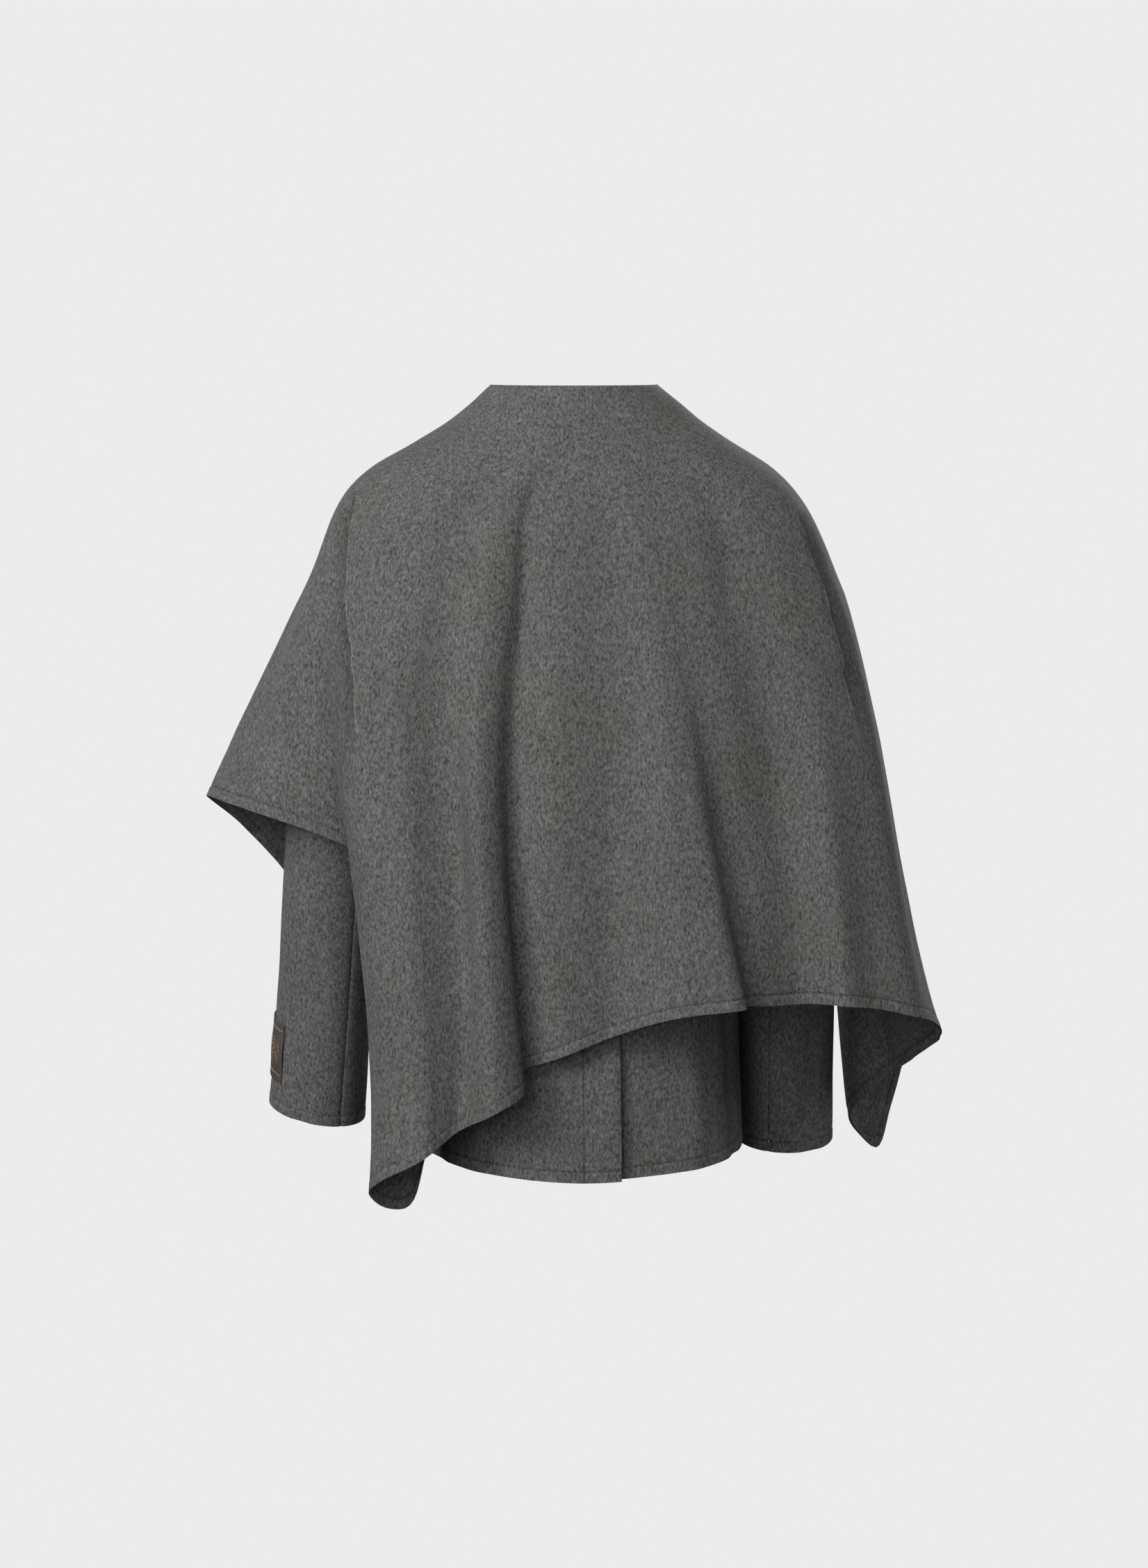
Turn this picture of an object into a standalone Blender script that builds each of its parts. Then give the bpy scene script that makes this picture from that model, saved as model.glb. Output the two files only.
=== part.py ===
"""A short grey wool coat with a large uneven cape joined at its neckline, hollow as worn.

Metres, +Z up. +X is the wearer's left, and the front faces -Y. The origin lies midway between
the shoulders at the base of the neck, where the wearer's shoulders carry the coat.
Lengths in the tables are in millimetres, and angles are in degrees.
"""
import math

import bmesh
import bpy
from mathutils import Vector

MM = 0.001

# Cloth
WALL = 2.5 * MM              # double-faced melton
SEAM_GAP = 0.55 * MM         # between the outer faces of two panels at a seam
ARMHOLE_GAP = 0.7 * MM       # between a panel and the head of its sleeve

RIM_COLUMN = 0.02            # width of the narrow columns along a seam, as a share of the panel
STEP_SLACK = 0.2             # how far a step may pass its widest before one more is made

# Neckline of the jacket
NECK_HALF_WIDTH = 76 * MM
NECK_BACK = 68 * MM          # centre back, behind the origin
NECK_FRONT = 85 * MM         # centre front, ahead of the origin
NECK_TOP = 29.5 * MM         # height at the back and at the sides
NECK_DROP = 76.5 * MM        # how far the neckline sinks at the centre front
SECTION_SINK = 1.5           # how fast a section rises from its centre line to its edge

# Shoulder and armhole
SHOULDER_SAG = 4 * MM        # how far the shoulder seam dips between the neck and the tip
SHOULDER_TIP = Vector((185, 0, -57)) * MM
ARMPIT = Vector((160, 0, -235)) * MM
ARMHOLE_HALF_DEPTH = 58 * MM

# Body of the jacket
HEM_Z = -730 * MM            # height of the hem at the centre back
HEM_SHIFT = -10 * MM         # the hem hangs a little to the wearer's right
VENT_TOP = -430 * MM
VENT_SLANT = 34 * MM         # height over which the top of the vent runs out sideways
VENT_FLAP = 36 * MM          # how far the left panel reaches past the centre back
VENT_UNDERLAY = 30 * MM      # how far the right panel reaches the other way, below it
UNDERLAY_DEPTH_TOP = 4 * MM
UNDERLAY_DEPTH_HEM = 11 * MM
UNDERLAY_RISE = (70 * MM, 25 * MM)    # above the vent, where the right panel starts to sink and is down
UNDERLAY_FADE = (20 * MM, 112 * MM)    # beyond the flap, where it starts to come up again and is level
FRONT_OVERLAP = 25 * MM      # how far each front reaches past the centre front
FRONT_STEP = 3.5 * MM        # how far the left front lies below the right one
FRONT_FADE = (6 * MM, 50 * MM)        # beyond the overlap, where it starts to come up and is level

# Seams of the two-piece sleeves, measured round the sleeve from its outer side
BACK_SEAM = {"left": (136, 122), "right": (118, 112)}     # at the armhole, at the cuff
FRONT_SEAM = 232

# Patch on the outer side of the left sleeve
PATCH_TOP = -596 * MM
PATCH_BOTTOM = -657 * MM
PATCH_FROM = -25             # round the sleeve, on its front side
PATCH_TO = 42                # and on its back side
PATCH_WALL = 1.4 * MM
PATCH_GAP = 0.42 * MM
PATCH_ROWS = 3
PATCH_COLUMNS = 9

# Buttons down the centre front
BUTTON_RADIUS = 11 * MM
BUTTON_FACE = 0.9            # radius of its face, as a share of the radius at its back
BUTTON_SIDES = 24
BUTTON_HEIGHT = 4 * MM
BUTTON_GAP = 0.5 * MM
BUTTON_COUNT = 4
BUTTON_FIRST = -110 * MM
BUTTON_STEP = -125 * MM

# Cape: its neck edge, and the rings that it lies over
CAPE_NECK_OUT = 2.9 * MM     # how far its neck edge stands out of the jacket's neckline
CAPE_NECK_SIDE = 1.9 * MM    # and how much more than that at the sides, where the cloth lies flatter
CAPE_NECK_RISE = 1.5 * MM
CAPE_RINGS = (
    # name, half width left, half width right, back depth, front depth, side z, back z, front z
    ("neck base", 119, 121, 91, 97, -2, -22, -56),
    ("shoulder", 217, 213, 112, 111, -68, -80, -92),
    ("arm", 264, 266, 131, 130, -172, -176, -184),
)
CAPE_FULLNESS = 0.85         # under 1, so that the rings are squarer than an ellipse
CAPE_SHOULDER_OUT = 0.4      # how much of a fold's stand shows at the shoulder ring
CAPE_ROWS = (2, 3, 4, 12)    # down to the neck base, the shoulder, the arm and the hem
CAPE_COLUMN = 40 * MM        # widest column at the hem

# One row for each fold or edge of the cape, from the left front edge round the back to the right
# front edge. "around" is where the fold starts, from the centre back towards the wearer's left;
# "out" is how far it stands out at the arm ring; "bow" is how far it curves to the left on its way.
CAPE_FOLDS = (
    # name,                 around, out,  bow,  hem x, hem y, hem z
    ("left front edge",         157,   0,    0,    118,  -186,  -690),
    ("left front fold",         147,   2,    0,    176,  -196,  -655),
    ("left front hollow",       137,  -2,    0,    222,  -162,  -585),
    ("arm front low",           128,   0,    0,    266,  -140,  -512),
    ("arm front",               117,   2,    0,    298,  -115,  -463),
    ("arm front high",          107,   2,    0,    337,   -76,  -411),
    ("arm lobe",                 92,   2,    1,    363,   -10,  -374),
    ("arm back high",            80,   2,   -2,    337,    30,  -377),
    ("arm back",                 71,  -3,    0,    288,    56,  -389),
    ("arm back low",             64,  -8,    0,    240,    66,  -405),
    ("arm tuck",                 59,  -5,    0,    204,    64,  -423),
    ("pleat floor",              57,  -2,    0,    169,    76,  -536),
    ("pleat floor low",          56,  -1,    0,    144,    90,  -643),
    ("pleat edge",               55,   0,   -6,    145,   104,  -712),
    ("back corner",              54,   1,  -14,    165,   114,  -761),
    ("corner turn",              53,   3,  -20,    183,   123,  -758),
    ("left fold edge",           51,   5,  -20,    197,   141,  -740),
    ("left fold top",            47,   6,  -12,    184,   165,  -722),
    ("ridge a",                  31,   7,   -4,    146,   186,  -698),
    ("shallow valley",           22,  -4,  -12,    108,   170,  -671),
    ("ridge b",                  15,   7,    0,     76,   194,  -651),
    ("ridge b edge",             11,   3,    6,     46,   172,  -634),
    ("deep valley",               8,  -7,    7,     53,   145,  -622),
    ("ridge d",                   3,   1,    5,     12,   154,  -604),
    ("flat back",                -6,  -3,    0,    -46,   148,  -582),
    ("ridge e",                 -13,   4,    2,   -104,   180,  -560),
    ("crease lip",              -16,   1,    4,   -162,   174,  -554),
    ("crease floor",            -19,  -2,    4,   -166,   146,  -556),
    ("crease ridge",            -25,  -4,    0,   -188,   139,  -557),
    ("valley g",                -33,  -9,   -4,   -226,   127,  -557),
    ("ridge h",                 -45,   4,    0,   -262,   148,  -556),
    ("hollow hi",               -54,   6,    0,   -292,   128,  -562),
    ("ridge i",                 -66,   6,    4,   -328,   116,  -572),
    ("right side back",         -78,   0,    9,   -353,    60,  -589),
    ("right side",              -92,  -1,   11,   -365,    10,  -609),
    ("right arm front",        -107,   0,    9,   -349,   -54,  -645),
    ("right arm low",          -120,   0,    0,   -312,   -94,  -682),
    ("cascade fold",           -133,   0,    0,   -287,  -126,  -723),
    ("cascade back",           -139,   0,    0,   -296,  -146,  -745),
    ("front corner",           -145,   0,    0,   -316,  -157,  -765),
    ("right front edge low",   -151,   0,    0,   -332,  -166,  -722),
    ("right front edge",       -157,   0,    0,   -346,  -174,  -672),
)

# Half sections of the jacket's body, from the centre line out to its edge. The edge runs along the
# shoulder seam, round the armhole and down the side seam. "along" is how far along the shoulder
# seam, how many degrees round the armhole, or the half width at the side seam.
BODY_SECTIONS = (
    # edge,      along, edge z, back z, back depth, front z, front depth, fullness
    ("shoulder",   0.0,   None,   29.5,         68,   -47.0,          85,     1.00),
    ("shoulder",   0.35,  None,     -2,         78,     -72,          92,     0.95),
    ("shoulder",   0.70,  None,    -32,         87,     -92,          98,     0.92),
    ("shoulder",   1.0,   None,    -64,         95,    -112,         103,     0.89),
    ("armhole",    45,    None,    -95,        102,    -132,         107,     0.87),
    ("armhole",    85,    None,   -135,        109,    -155,         111,     0.86),
    ("armhole",    125,   None,   -180,        115,    -188,         115,     0.85),
    ("armhole",    160,   None,   -218,        120,    -220,         119,     0.85),
    ("armhole",    180,   None,   -240,        121,    -240,         120,     0.85),
    ("side",       156,   -330,   -330,        122,    -330,         120,     0.84),
    ("side",       153,   -450,   -450,        124,    -450,         120,     0.83),
    ("side",       155,   -600,   -602,        134,    -602,         128,     0.82),
    ("side",       158,   -717,   -730,        141,    -723,         134,     0.78),
)
BODY_COLUMNS = 8             # across a half section
BODY_ROW = 48 * MM           # tallest row

# Rings of a sleeve. Each crosses the arm from its under side to its outer side.
SLEEVE_HEAD = (
    # under x, under z, outer x, outer z, half depth, centre y, back drop
    (160.0, -235.0, 185.0, -57.0, 58, 0, 0),
    (162.4, -235.4, 187.5, -57.4, 58, 0, 0),
    (163.4, -240.0, 205.0, -79.0, 60, 0, 0),
    (164.0, -244.0, 225.0, -110.0, 61, 0, 0),
    (164.6, -249.0, 239.5, -145.0, 61, 0, 0),
    (165.2, -256.0, 250.0, -190.0, 60, -1, 0),
    (166.5, -277.0, 258.0, -250.0, 58, -3, 1),
)
SLEEVE_ARM = {
    "left": (
        (173, -345, 277, -335, 55, -8, 2),
        (190, -445, 287, -430, 52, -17, 4),
        (200, -565, 295, -553, 49, -27, 6),
        (210, -704, 306, -687, 46, -36, 7),
    ),
    "right": (
        (166, -345, 264, -335, 54, -12, 2),
        (165, -445, 264, -430, 52, -25, 4),
        (163, -585, 262, -575, 49, -42, 6),
        (163, -728, 261, -729, 47, -55, 7),
    ),
}
SLEEVE_COLUMN = 18           # degrees
SLEEVE_ROW = 46 * MM


def remove_old_objects():
    for item in list(bpy.data.objects):
        bpy.data.objects.remove(item, do_unlink=True)


def make_material(name, colour, roughness, metallic=0.0):
    material = bpy.data.materials.new(name)
    material.use_nodes = True
    shader = material.node_tree.nodes["Principled BSDF"]
    shader.inputs["Base Color"].default_value = (*colour, 1.0)
    shader.inputs["Roughness"].default_value = roughness
    shader.inputs["Metallic"].default_value = metallic
    material.diffuse_color = (*colour, 1.0)
    return material


# Smooth curves

def slope(knots, points, i):
    """Slope at a point of a smooth curve. The curve is straight at its two ends."""
    last = len(points) - 1
    before = (points[i] - points[i - 1]) / (knots[i] - knots[i - 1]) if i > 0 else None
    after = (points[i + 1] - points[i]) / (knots[i + 1] - knots[i]) if i < last else None
    if before is None:
        return after
    if after is None:
        return before
    left = knots[i] - knots[i - 1]
    right = knots[i + 1] - knots[i]
    return (before * right + after * left) / (left + right)


def on_curve(knots, points, place):
    """A point on the smooth curve through points, which are numbers or vectors.

    place is the number of a knot and the share of the way to the next one.
    """
    i, t = place
    if t == 0:
        return points[i]
    span = knots[i + 1] - knots[i]
    start = slope(knots, points, i) * span
    end = slope(knots, points, i + 1) * span
    return (points[i] * (1 + 2 * t) * (1 - t) ** 2 + start * t * (1 - t) ** 2
            + points[i + 1] * t ** 2 * (3 - 2 * t) + end * t ** 2 * (t - 1))


def spaced(knots, widest):
    """Every knot, with even steps between knots that lie further apart than about widest."""
    places = []
    for i in range(len(knots) - 1):
        steps = max(1, math.ceil((knots[i + 1] - knots[i]) / widest - STEP_SLACK))
        places += [(i, k / steps) for k in range(steps)]
    return places + [(len(knots) - 1, 0)]


def with_rims(shares):
    """The shares of a width, with one more close to each end, so that the rims there stand square."""
    return [shares[0], RIM_COLUMN] + shares[1:-1] + [1 - RIM_COLUMN, shares[-1]]


def distances(points):
    """How far along it each point of a line is."""
    total = [0.0]
    for a, b in zip(points, points[1:]):
        total.append(total[-1] + (b - a).length)
    return total


def signed_power(value, power):
    return math.copysign(abs(value) ** power, value)


def ramp(value, low, high):
    """0 at low and 1 at high, with soft ends."""
    t = min(1.0, max(0.0, (value - low) / (high - low)))
    return t * t * (3 - 2 * t)


# Sheets of cloth

def sheet(name, points, material, collection, wall=WALL):
    """A wall of cloth whose outer face is the grid of points, a list of equal rows."""
    rows = len(points)
    columns = len(points[0])
    grid = bmesh.new()
    bmesh.ops.create_grid(grid, x_segments=columns - 1, y_segments=rows - 1, size=0.5)
    grid.verts.ensure_lookup_table()
    for corner in grid.verts:
        column = round((corner.co.x + 0.5) * (columns - 1))
        row = round((corner.co.y + 0.5) * (rows - 1))
        corner.co = points[row][column]
    mesh = bpy.data.meshes.new(name)
    grid.to_mesh(mesh)
    grid.free()
    mesh.shade_smooth()
    mesh.materials.append(material)
    item = bpy.data.objects.new(name, mesh)
    collection.objects.link(item)
    shell = item.modifiers.new("Wall", "SOLIDIFY")
    shell.thickness = wall
    shell.offset = -1.0
    shell.use_rim = True
    return item


# Jacket body

def neck_point(around):
    """The jacket's neckline, 0 at the centre back, 90 at the left and 180 at the centre front."""
    turn = math.radians(around)
    sideways = math.sin(turn)
    is_back = math.cos(turn) > 0
    depth = NECK_BACK if is_back else NECK_FRONT
    drop = 0.0 if is_back else NECK_DROP * (1 - abs(sideways) ** SECTION_SINK)
    return Vector((NECK_HALF_WIDTH * sideways, depth * math.cos(turn), NECK_TOP - drop))


def armhole_point(around):
    """The armhole's edge, 0 at the shoulder tip and 180 at the armpit, on its back half."""
    turn = math.radians(around)
    centre = (SHOULDER_TIP + ARMPIT) / 2
    reach = (SHOULDER_TIP - ARMPIT) / 2
    return centre + reach * math.cos(turn) + Vector((0, ARMHOLE_HALF_DEPTH * math.sin(turn), 0))


def side_edges():
    """The ends of the half sections, on the back of the coat."""
    edges = []
    for kind, along, edge_z, *_ in BODY_SECTIONS:
        if kind == "shoulder":
            sag = Vector((0, 0, SHOULDER_SAG * math.sin(math.pi * along)))
            edges.append(neck_point(90).lerp(SHOULDER_TIP, along) - sag)
        elif kind == "armhole":
            edges.append(armhole_point(along))
        else:
            edges.append(Vector((along, 0, edge_z)) * MM)
    return edges


def side_edge(edges, knots, place):
    """The edge of the body at a place down it. It keeps to the armhole between two of its sections."""
    i, t = place
    if t > 0 and BODY_SECTIONS[i + 1][0] == "armhole":
        before = BODY_SECTIONS[i][1] if BODY_SECTIONS[i][0] == "armhole" else 0
        return armhole_point(before + (BODY_SECTIONS[i + 1][1] - before) * t)
    if t == 0:
        return edges[i]
    edge = on_curve(knots, edges, place)
    return Vector((edge.x, 0, edge.z))


def across(x, half_width, fullness):
    """The angle across a section at which it is x from the centre line."""
    return math.asin(signed_power(x / half_width, 1 / fullness))


def body_grid(side, is_back, inner_edge, sink):
    """The points of one panel, from its centre edge out to its side edge.

    inner_edge(z) is how far the panel stops from the centre line, and below zero it reaches past it.
    sink(x, z) is how far the panel lies below the plain body, to pass under its neighbour.
    """
    edges = side_edges()
    knots = distances(edges)
    centres = []
    for *_, back_z, back_depth, front_z, front_depth, fullness in BODY_SECTIONS:
        if is_back:
            centres.append(Vector((back_z * MM, back_depth * MM, fullness)))
        else:
            centres.append(Vector((front_z * MM, front_depth * MM, fullness)))
    shares = with_rims([k / BODY_COLUMNS for k in range(BODY_COLUMNS + 1)])
    towards = 1 if is_back else -1
    rows = []
    for place in spaced(knots, BODY_ROW):
        edge = side_edge(edges, knots, place)
        centre_z, depth, fullness = on_curve(knots, centres, place)
        first = across(inner_edge(centre_z), edge.x, fullness)
        row = []
        for share in shares:
            turn = first + (math.pi / 2 - first) * share
            x = edge.x * signed_power(math.sin(turn), fullness)
            inward = depth - sink(x, centre_z)
            y = edge.y + (inward - edge.y) * max(0.0, math.cos(turn)) ** fullness
            z = centre_z + (edge.z - centre_z) * abs(x / edge.x) ** SECTION_SINK
            shift = HEM_SHIFT * ramp(z, ARMPIT.z, HEM_Z)
            row.append(Vector((side * x + shift, towards * (y + SEAM_GAP / 2), z)))
        rows.append(row)
    return rows


def facing_out(points, outward):
    """The same grid, turned if its faces would look away from the direction outward(point)."""
    row = len(points) // 2
    column = len(points[0]) // 2
    here = points[row][column]
    normal = (points[row][column + 1] - here).cross(points[row + 1][column] - here)
    if normal.dot(outward(here)) > 0:
        return points
    return [list(reversed(line)) for line in points]


def from_middle(point):
    return Vector((point.x, point.y, 0))


def vent_reach(z):
    """0 above the vent and 1 below its slanted top."""
    return ramp(z, VENT_TOP, VENT_TOP - VENT_SLANT)


def build_body(collection, wool):
    half_gap = SEAM_GAP / 2

    def flap_edge(z):
        return half_gap - (VENT_FLAP + half_gap) * vent_reach(z)

    def underlay_edge(z):
        return half_gap - (VENT_UNDERLAY + half_gap) * vent_reach(z)

    def underlay_sink(x, z):
        start = ramp(z, VENT_TOP + UNDERLAY_RISE[0], VENT_TOP + UNDERLAY_RISE[1])
        down = ramp(z, VENT_TOP, HEM_Z)
        depth = UNDERLAY_DEPTH_TOP + (UNDERLAY_DEPTH_HEM - UNDERLAY_DEPTH_TOP) * down
        return depth * start * (1 - ramp(x, VENT_FLAP + UNDERLAY_FADE[0], VENT_FLAP + UNDERLAY_FADE[1]))

    def front_edge(z):
        return -FRONT_OVERLAP

    def front_sink(x, z):
        return FRONT_STEP * (1 - ramp(x, FRONT_OVERLAP + FRONT_FADE[0], FRONT_OVERLAP + FRONT_FADE[1]))

    def flat(x, z):
        return 0.0

    panels = (
        ("back_left", 1, True, flap_edge, flat),
        ("back_right", -1, True, underlay_edge, underlay_sink),
        ("front_left", 1, False, front_edge, front_sink),
        ("front_right", -1, False, front_edge, flat),
    )
    for name, side, is_back, inner_edge, sink in panels:
        points = body_grid(side, is_back, inner_edge, sink)
        sheet(name, facing_out(points, from_middle), wool, collection)


# Sleeves

def sleeve_ring(rings, knots, place):
    """The ring at a place down the sleeve: its centre, and the ways to its outer side and its back."""
    under_x, under_z, outer_x, outer_z, half_depth, centre_y, back_drop = (
        on_curve(knots, [row[k] * MM for row in rings], place) for k in range(7)
    )
    centre = Vector(((under_x + outer_x) / 2, centre_y, (under_z + outer_z) / 2))
    outer = Vector(((outer_x - under_x) / 2, 0, (outer_z - under_z) / 2))
    back = Vector((0, half_depth, -back_drop))
    return centre, outer, back


def sleeve_knots(rings):
    middles = [Vector((row[0] + row[2], 0, row[1] + row[3])) * MM / 2 for row in rings]
    return distances(middles)


def sleeve_point(side, rings, knots, place, around):
    """A point on a sleeve's outer face, at 0 on its outer side, 90 at the back, 180 inside."""
    centre, outer, back = sleeve_ring(rings, knots, place)
    turn = math.radians(around)
    point = centre + outer * math.cos(turn) + back * math.sin(turn)
    point.x += ARMHOLE_GAP
    return Vector((side * point.x, point.y, point.z))


def sleeve_grid(side, rings, knots, start, end):
    """The points of one piece of a sleeve. start and end give its two seams at a share of its length."""
    steps = math.ceil((end(0.5) - start(0.5)) / SLEEVE_COLUMN)
    shares = with_rims([k / steps for k in range(steps + 1)])
    rows = []
    for place in spaced(knots, SLEEVE_ROW):
        down = (place[0] + place[1]) / (len(knots) - 1)
        low = start(down)
        high = end(down)
        rows.append([
            sleeve_point(side, rings, knots, place, low + (high - low) * share) for share in shares
        ])
    return rows


def build_sleeves(collection, wool):
    for name, side in (("left", 1), ("right", -1)):
        rings = SLEEVE_HEAD + SLEEVE_ARM[name]
        knots = sleeve_knots(rings)
        at_armhole, at_cuff = BACK_SEAM[name]
        gap = math.degrees(SEAM_GAP / 2 / (rings[-1][4] * MM))

        def back_seam(share):
            return at_armhole + (at_cuff - at_armhole) * share

        middle = sleeve_ring(rings, knots, (len(knots) // 2, 0))[0]

        def from_arm(point):
            return Vector((point.x - side * middle.x, point.y - middle.y, 0))

        upper = sleeve_grid(side, rings, knots,
                            lambda share: FRONT_SEAM - 360 + gap,
                            lambda share: back_seam(share) - gap)
        under = sleeve_grid(side, rings, knots,
                            lambda share: back_seam(share) + gap,
                            lambda share: FRONT_SEAM - gap)
        for piece, points in (("upper", upper), ("under", under)):
            sheet(f"sleeve_{name}_{piece}", facing_out(points, from_arm), wool, collection)


def build_patch(collection, leather):
    rings = SLEEVE_HEAD + SLEEVE_ARM["left"]
    knots = sleeve_knots(rings)

    def place_at(z):
        """Where the sleeve's outer side is at height z, which is in its lowest part."""
        above, below = rings[-2][3] * MM, rings[-1][3] * MM
        return len(rings) - 2, (above - z) / (above - below)

    rows = []
    for k in range(PATCH_ROWS + 1):
        z = PATCH_TOP + (PATCH_BOTTOM - PATCH_TOP) * k / PATCH_ROWS
        place = place_at(z)
        centre = sleeve_ring(rings, knots, place)[0]
        row = []
        for j in range(PATCH_COLUMNS + 1):
            around = PATCH_FROM + (PATCH_TO - PATCH_FROM) * j / PATCH_COLUMNS
            point = sleeve_point(1, rings, knots, place, around)
            away = Vector((point.x - centre.x, point.y - centre.y, 0)).normalized()
            row.append(point + away * (PATCH_GAP + PATCH_WALL))
        rows.append(row)
    middle = sleeve_ring(rings, knots, place_at((PATCH_TOP + PATCH_BOTTOM) / 2))[0]
    out = facing_out(rows, lambda point: Vector((point.x - middle.x, point.y - middle.y, 0)))
    sheet("sleeve_patch", out, leather, collection, PATCH_WALL)


def build_buttons(collection, horn):
    """Buttons on the right front, square to its face where it crosses the centre line."""
    rows = body_grid(-1, False, lambda z: 0.0, lambda x, z: 0.0)
    line = [row[0] for row in rows]
    for k in range(BUTTON_COUNT):
        z = BUTTON_FIRST + k * BUTTON_STEP
        above = max(i for i, point in enumerate(line) if point.z > z)
        upper, lower = line[above], line[above + 1]
        seat = upper.lerp(lower, (upper.z - z) / (upper.z - lower.z))
        down = (lower - upper).normalized()
        out = Vector((1, 0, 0)).cross(down).normalized()
        if out.y > 0:
            out = -out
        name = f"button_{k + 1}"
        shape = bmesh.new()
        bmesh.ops.create_cone(shape, cap_ends=True, segments=BUTTON_SIDES, radius1=BUTTON_RADIUS,
                              radius2=BUTTON_RADIUS * BUTTON_FACE, depth=BUTTON_HEIGHT)
        mesh = bpy.data.meshes.new(name)
        shape.to_mesh(mesh)
        shape.free()
        mesh.materials.append(horn)
        item = bpy.data.objects.new(name, mesh)
        item.location = seat + out * (BUTTON_GAP + BUTTON_HEIGHT / 2)
        item.rotation_euler = out.to_track_quat("Z", "Y").to_euler()
        collection.objects.link(item)


# Cape

def ring_point(ring, around, out):
    """A point on one of the rings that the cape hangs from."""
    _, left, right, back, front, side_z, back_z, front_z = ring
    turn = math.radians(around)
    half_width = left if around > 0 else right
    depth = back if math.cos(turn) > 0 else front
    end_z = back_z if math.cos(turn) > 0 else front_z
    x = (half_width + out) * signed_power(math.sin(turn), CAPE_FULLNESS)
    y = (depth + out) * signed_power(math.cos(turn), CAPE_FULLNESS)
    z = side_z + (end_z - side_z) * math.cos(turn) ** 2
    return Vector((x, y, z)) * MM


def cape_neck_point(around):
    turn = math.radians(around)
    point = neck_point(around)
    away = Vector((math.sin(turn), math.cos(turn), 0))
    point += away * (CAPE_NECK_OUT + CAPE_NECK_SIDE * math.sin(turn) ** 2)
    point.z += CAPE_NECK_RISE
    return point


def fold_line(fold):
    """The points down one fold of the cape, from the neck to the hem."""
    _, around, out, bow, hem_x, hem_y, hem_z = fold
    stops = [
        cape_neck_point(around),
        ring_point(CAPE_RINGS[0], around, 0),
        ring_point(CAPE_RINGS[1], around, out * CAPE_SHOULDER_OUT),
        ring_point(CAPE_RINGS[2], around, out),
        Vector((hem_x, hem_y, hem_z)) * MM,
    ]
    knots = distances(stops)
    line = []
    for part, count in enumerate(CAPE_ROWS):
        for k in range(count):
            share = k / count
            point = on_curve(knots, stops, (part, share)).copy()
            if part == len(CAPE_ROWS) - 1:
                point.x += bow * MM * math.sin(math.pi * share)
            line.append(point)
    return line + [stops[-1]]


def cape_grid():
    lines = [fold_line(fold) for fold in CAPE_FOLDS]
    places = spaced(distances([line[-1] for line in lines]), CAPE_COLUMN)
    rows = []
    for k in range(len(lines[0])):
        level = [line[k] for line in lines]
        knots = distances(level)
        rows.append([on_curve(knots, level, place) for place in places])
    return rows


def build_cape(collection, wool):
    sheet("cape", facing_out(cape_grid(), from_middle), wool, collection)


def main():
    remove_old_objects()
    coat = bpy.data.collections.new("Cape coat")
    bpy.context.scene.collection.children.link(coat)
    wool = make_material("Grey wool", (0.105, 0.108, 0.106), 0.95)
    leather = make_material("Dark patch", (0.055, 0.046, 0.038), 0.7)
    horn = make_material("Dark horn", (0.03, 0.027, 0.025), 0.4)
    build_body(coat, wool)
    build_sleeves(coat, wool)
    build_patch(coat, leather)
    build_buttons(coat, horn)
    build_cape(coat, wool)


main()
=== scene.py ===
import math

import bmesh
import bpy
import numpy as np
from mathutils import Matrix, Vector, noise


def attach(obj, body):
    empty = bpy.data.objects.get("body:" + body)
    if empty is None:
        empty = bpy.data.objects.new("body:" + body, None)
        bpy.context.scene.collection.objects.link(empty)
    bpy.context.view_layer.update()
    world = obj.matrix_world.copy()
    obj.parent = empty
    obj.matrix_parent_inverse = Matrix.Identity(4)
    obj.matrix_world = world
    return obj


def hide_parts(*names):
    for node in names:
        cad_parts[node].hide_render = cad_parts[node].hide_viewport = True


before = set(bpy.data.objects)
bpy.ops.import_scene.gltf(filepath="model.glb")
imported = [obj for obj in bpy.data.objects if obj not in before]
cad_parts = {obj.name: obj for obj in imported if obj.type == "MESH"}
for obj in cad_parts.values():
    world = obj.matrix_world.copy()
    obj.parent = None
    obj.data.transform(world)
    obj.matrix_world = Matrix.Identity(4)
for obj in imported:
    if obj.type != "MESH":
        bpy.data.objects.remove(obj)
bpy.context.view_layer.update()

MM = 0.001

# Camera: the wearer's back fills the middle of the picture, seen from a little above
CAMERA_PLACE = Vector((0.0, 3.412, 0.08))
CAMERA_AIM = Vector((0.0, 0.0, -0.361))
CAMERA_LENS = 80

# Studio
FLOOR_Z = -1.4               # the shoulders of someone standing are about that far above it
STUDIO_RADIUS = 12
BACKDROP_GREY = (0.836, 0.836, 0.836, 1)
AMBIENT = 0.03
LAMP_AIM = Vector((0, 0, -0.35))
LAMPS = (
    # name, place, size, power
    ("key", (2.43, 2.43, 1.25), 1.3, 82),
    ("low key", (1.28, 3.52, 0.31), 1.4, 28),
    ("high fill", (-1.23, 2.64, 2.09), 1.4, 10),
    ("high middle", (0.92, 2.53, 2.34), 1.4, 28),
    ("low fill", (-1.2, 3.55, -0.75), 1.4, 12),
    ("right side", (-3.52, -0.62, 0.95), 1.4, 34),
    ("front key", (-1.4, -3.3, 1.2), 1.7, 95),
    ("front fill", (2.5, -2.6, 0.8), 1.7, 40),
)

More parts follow.
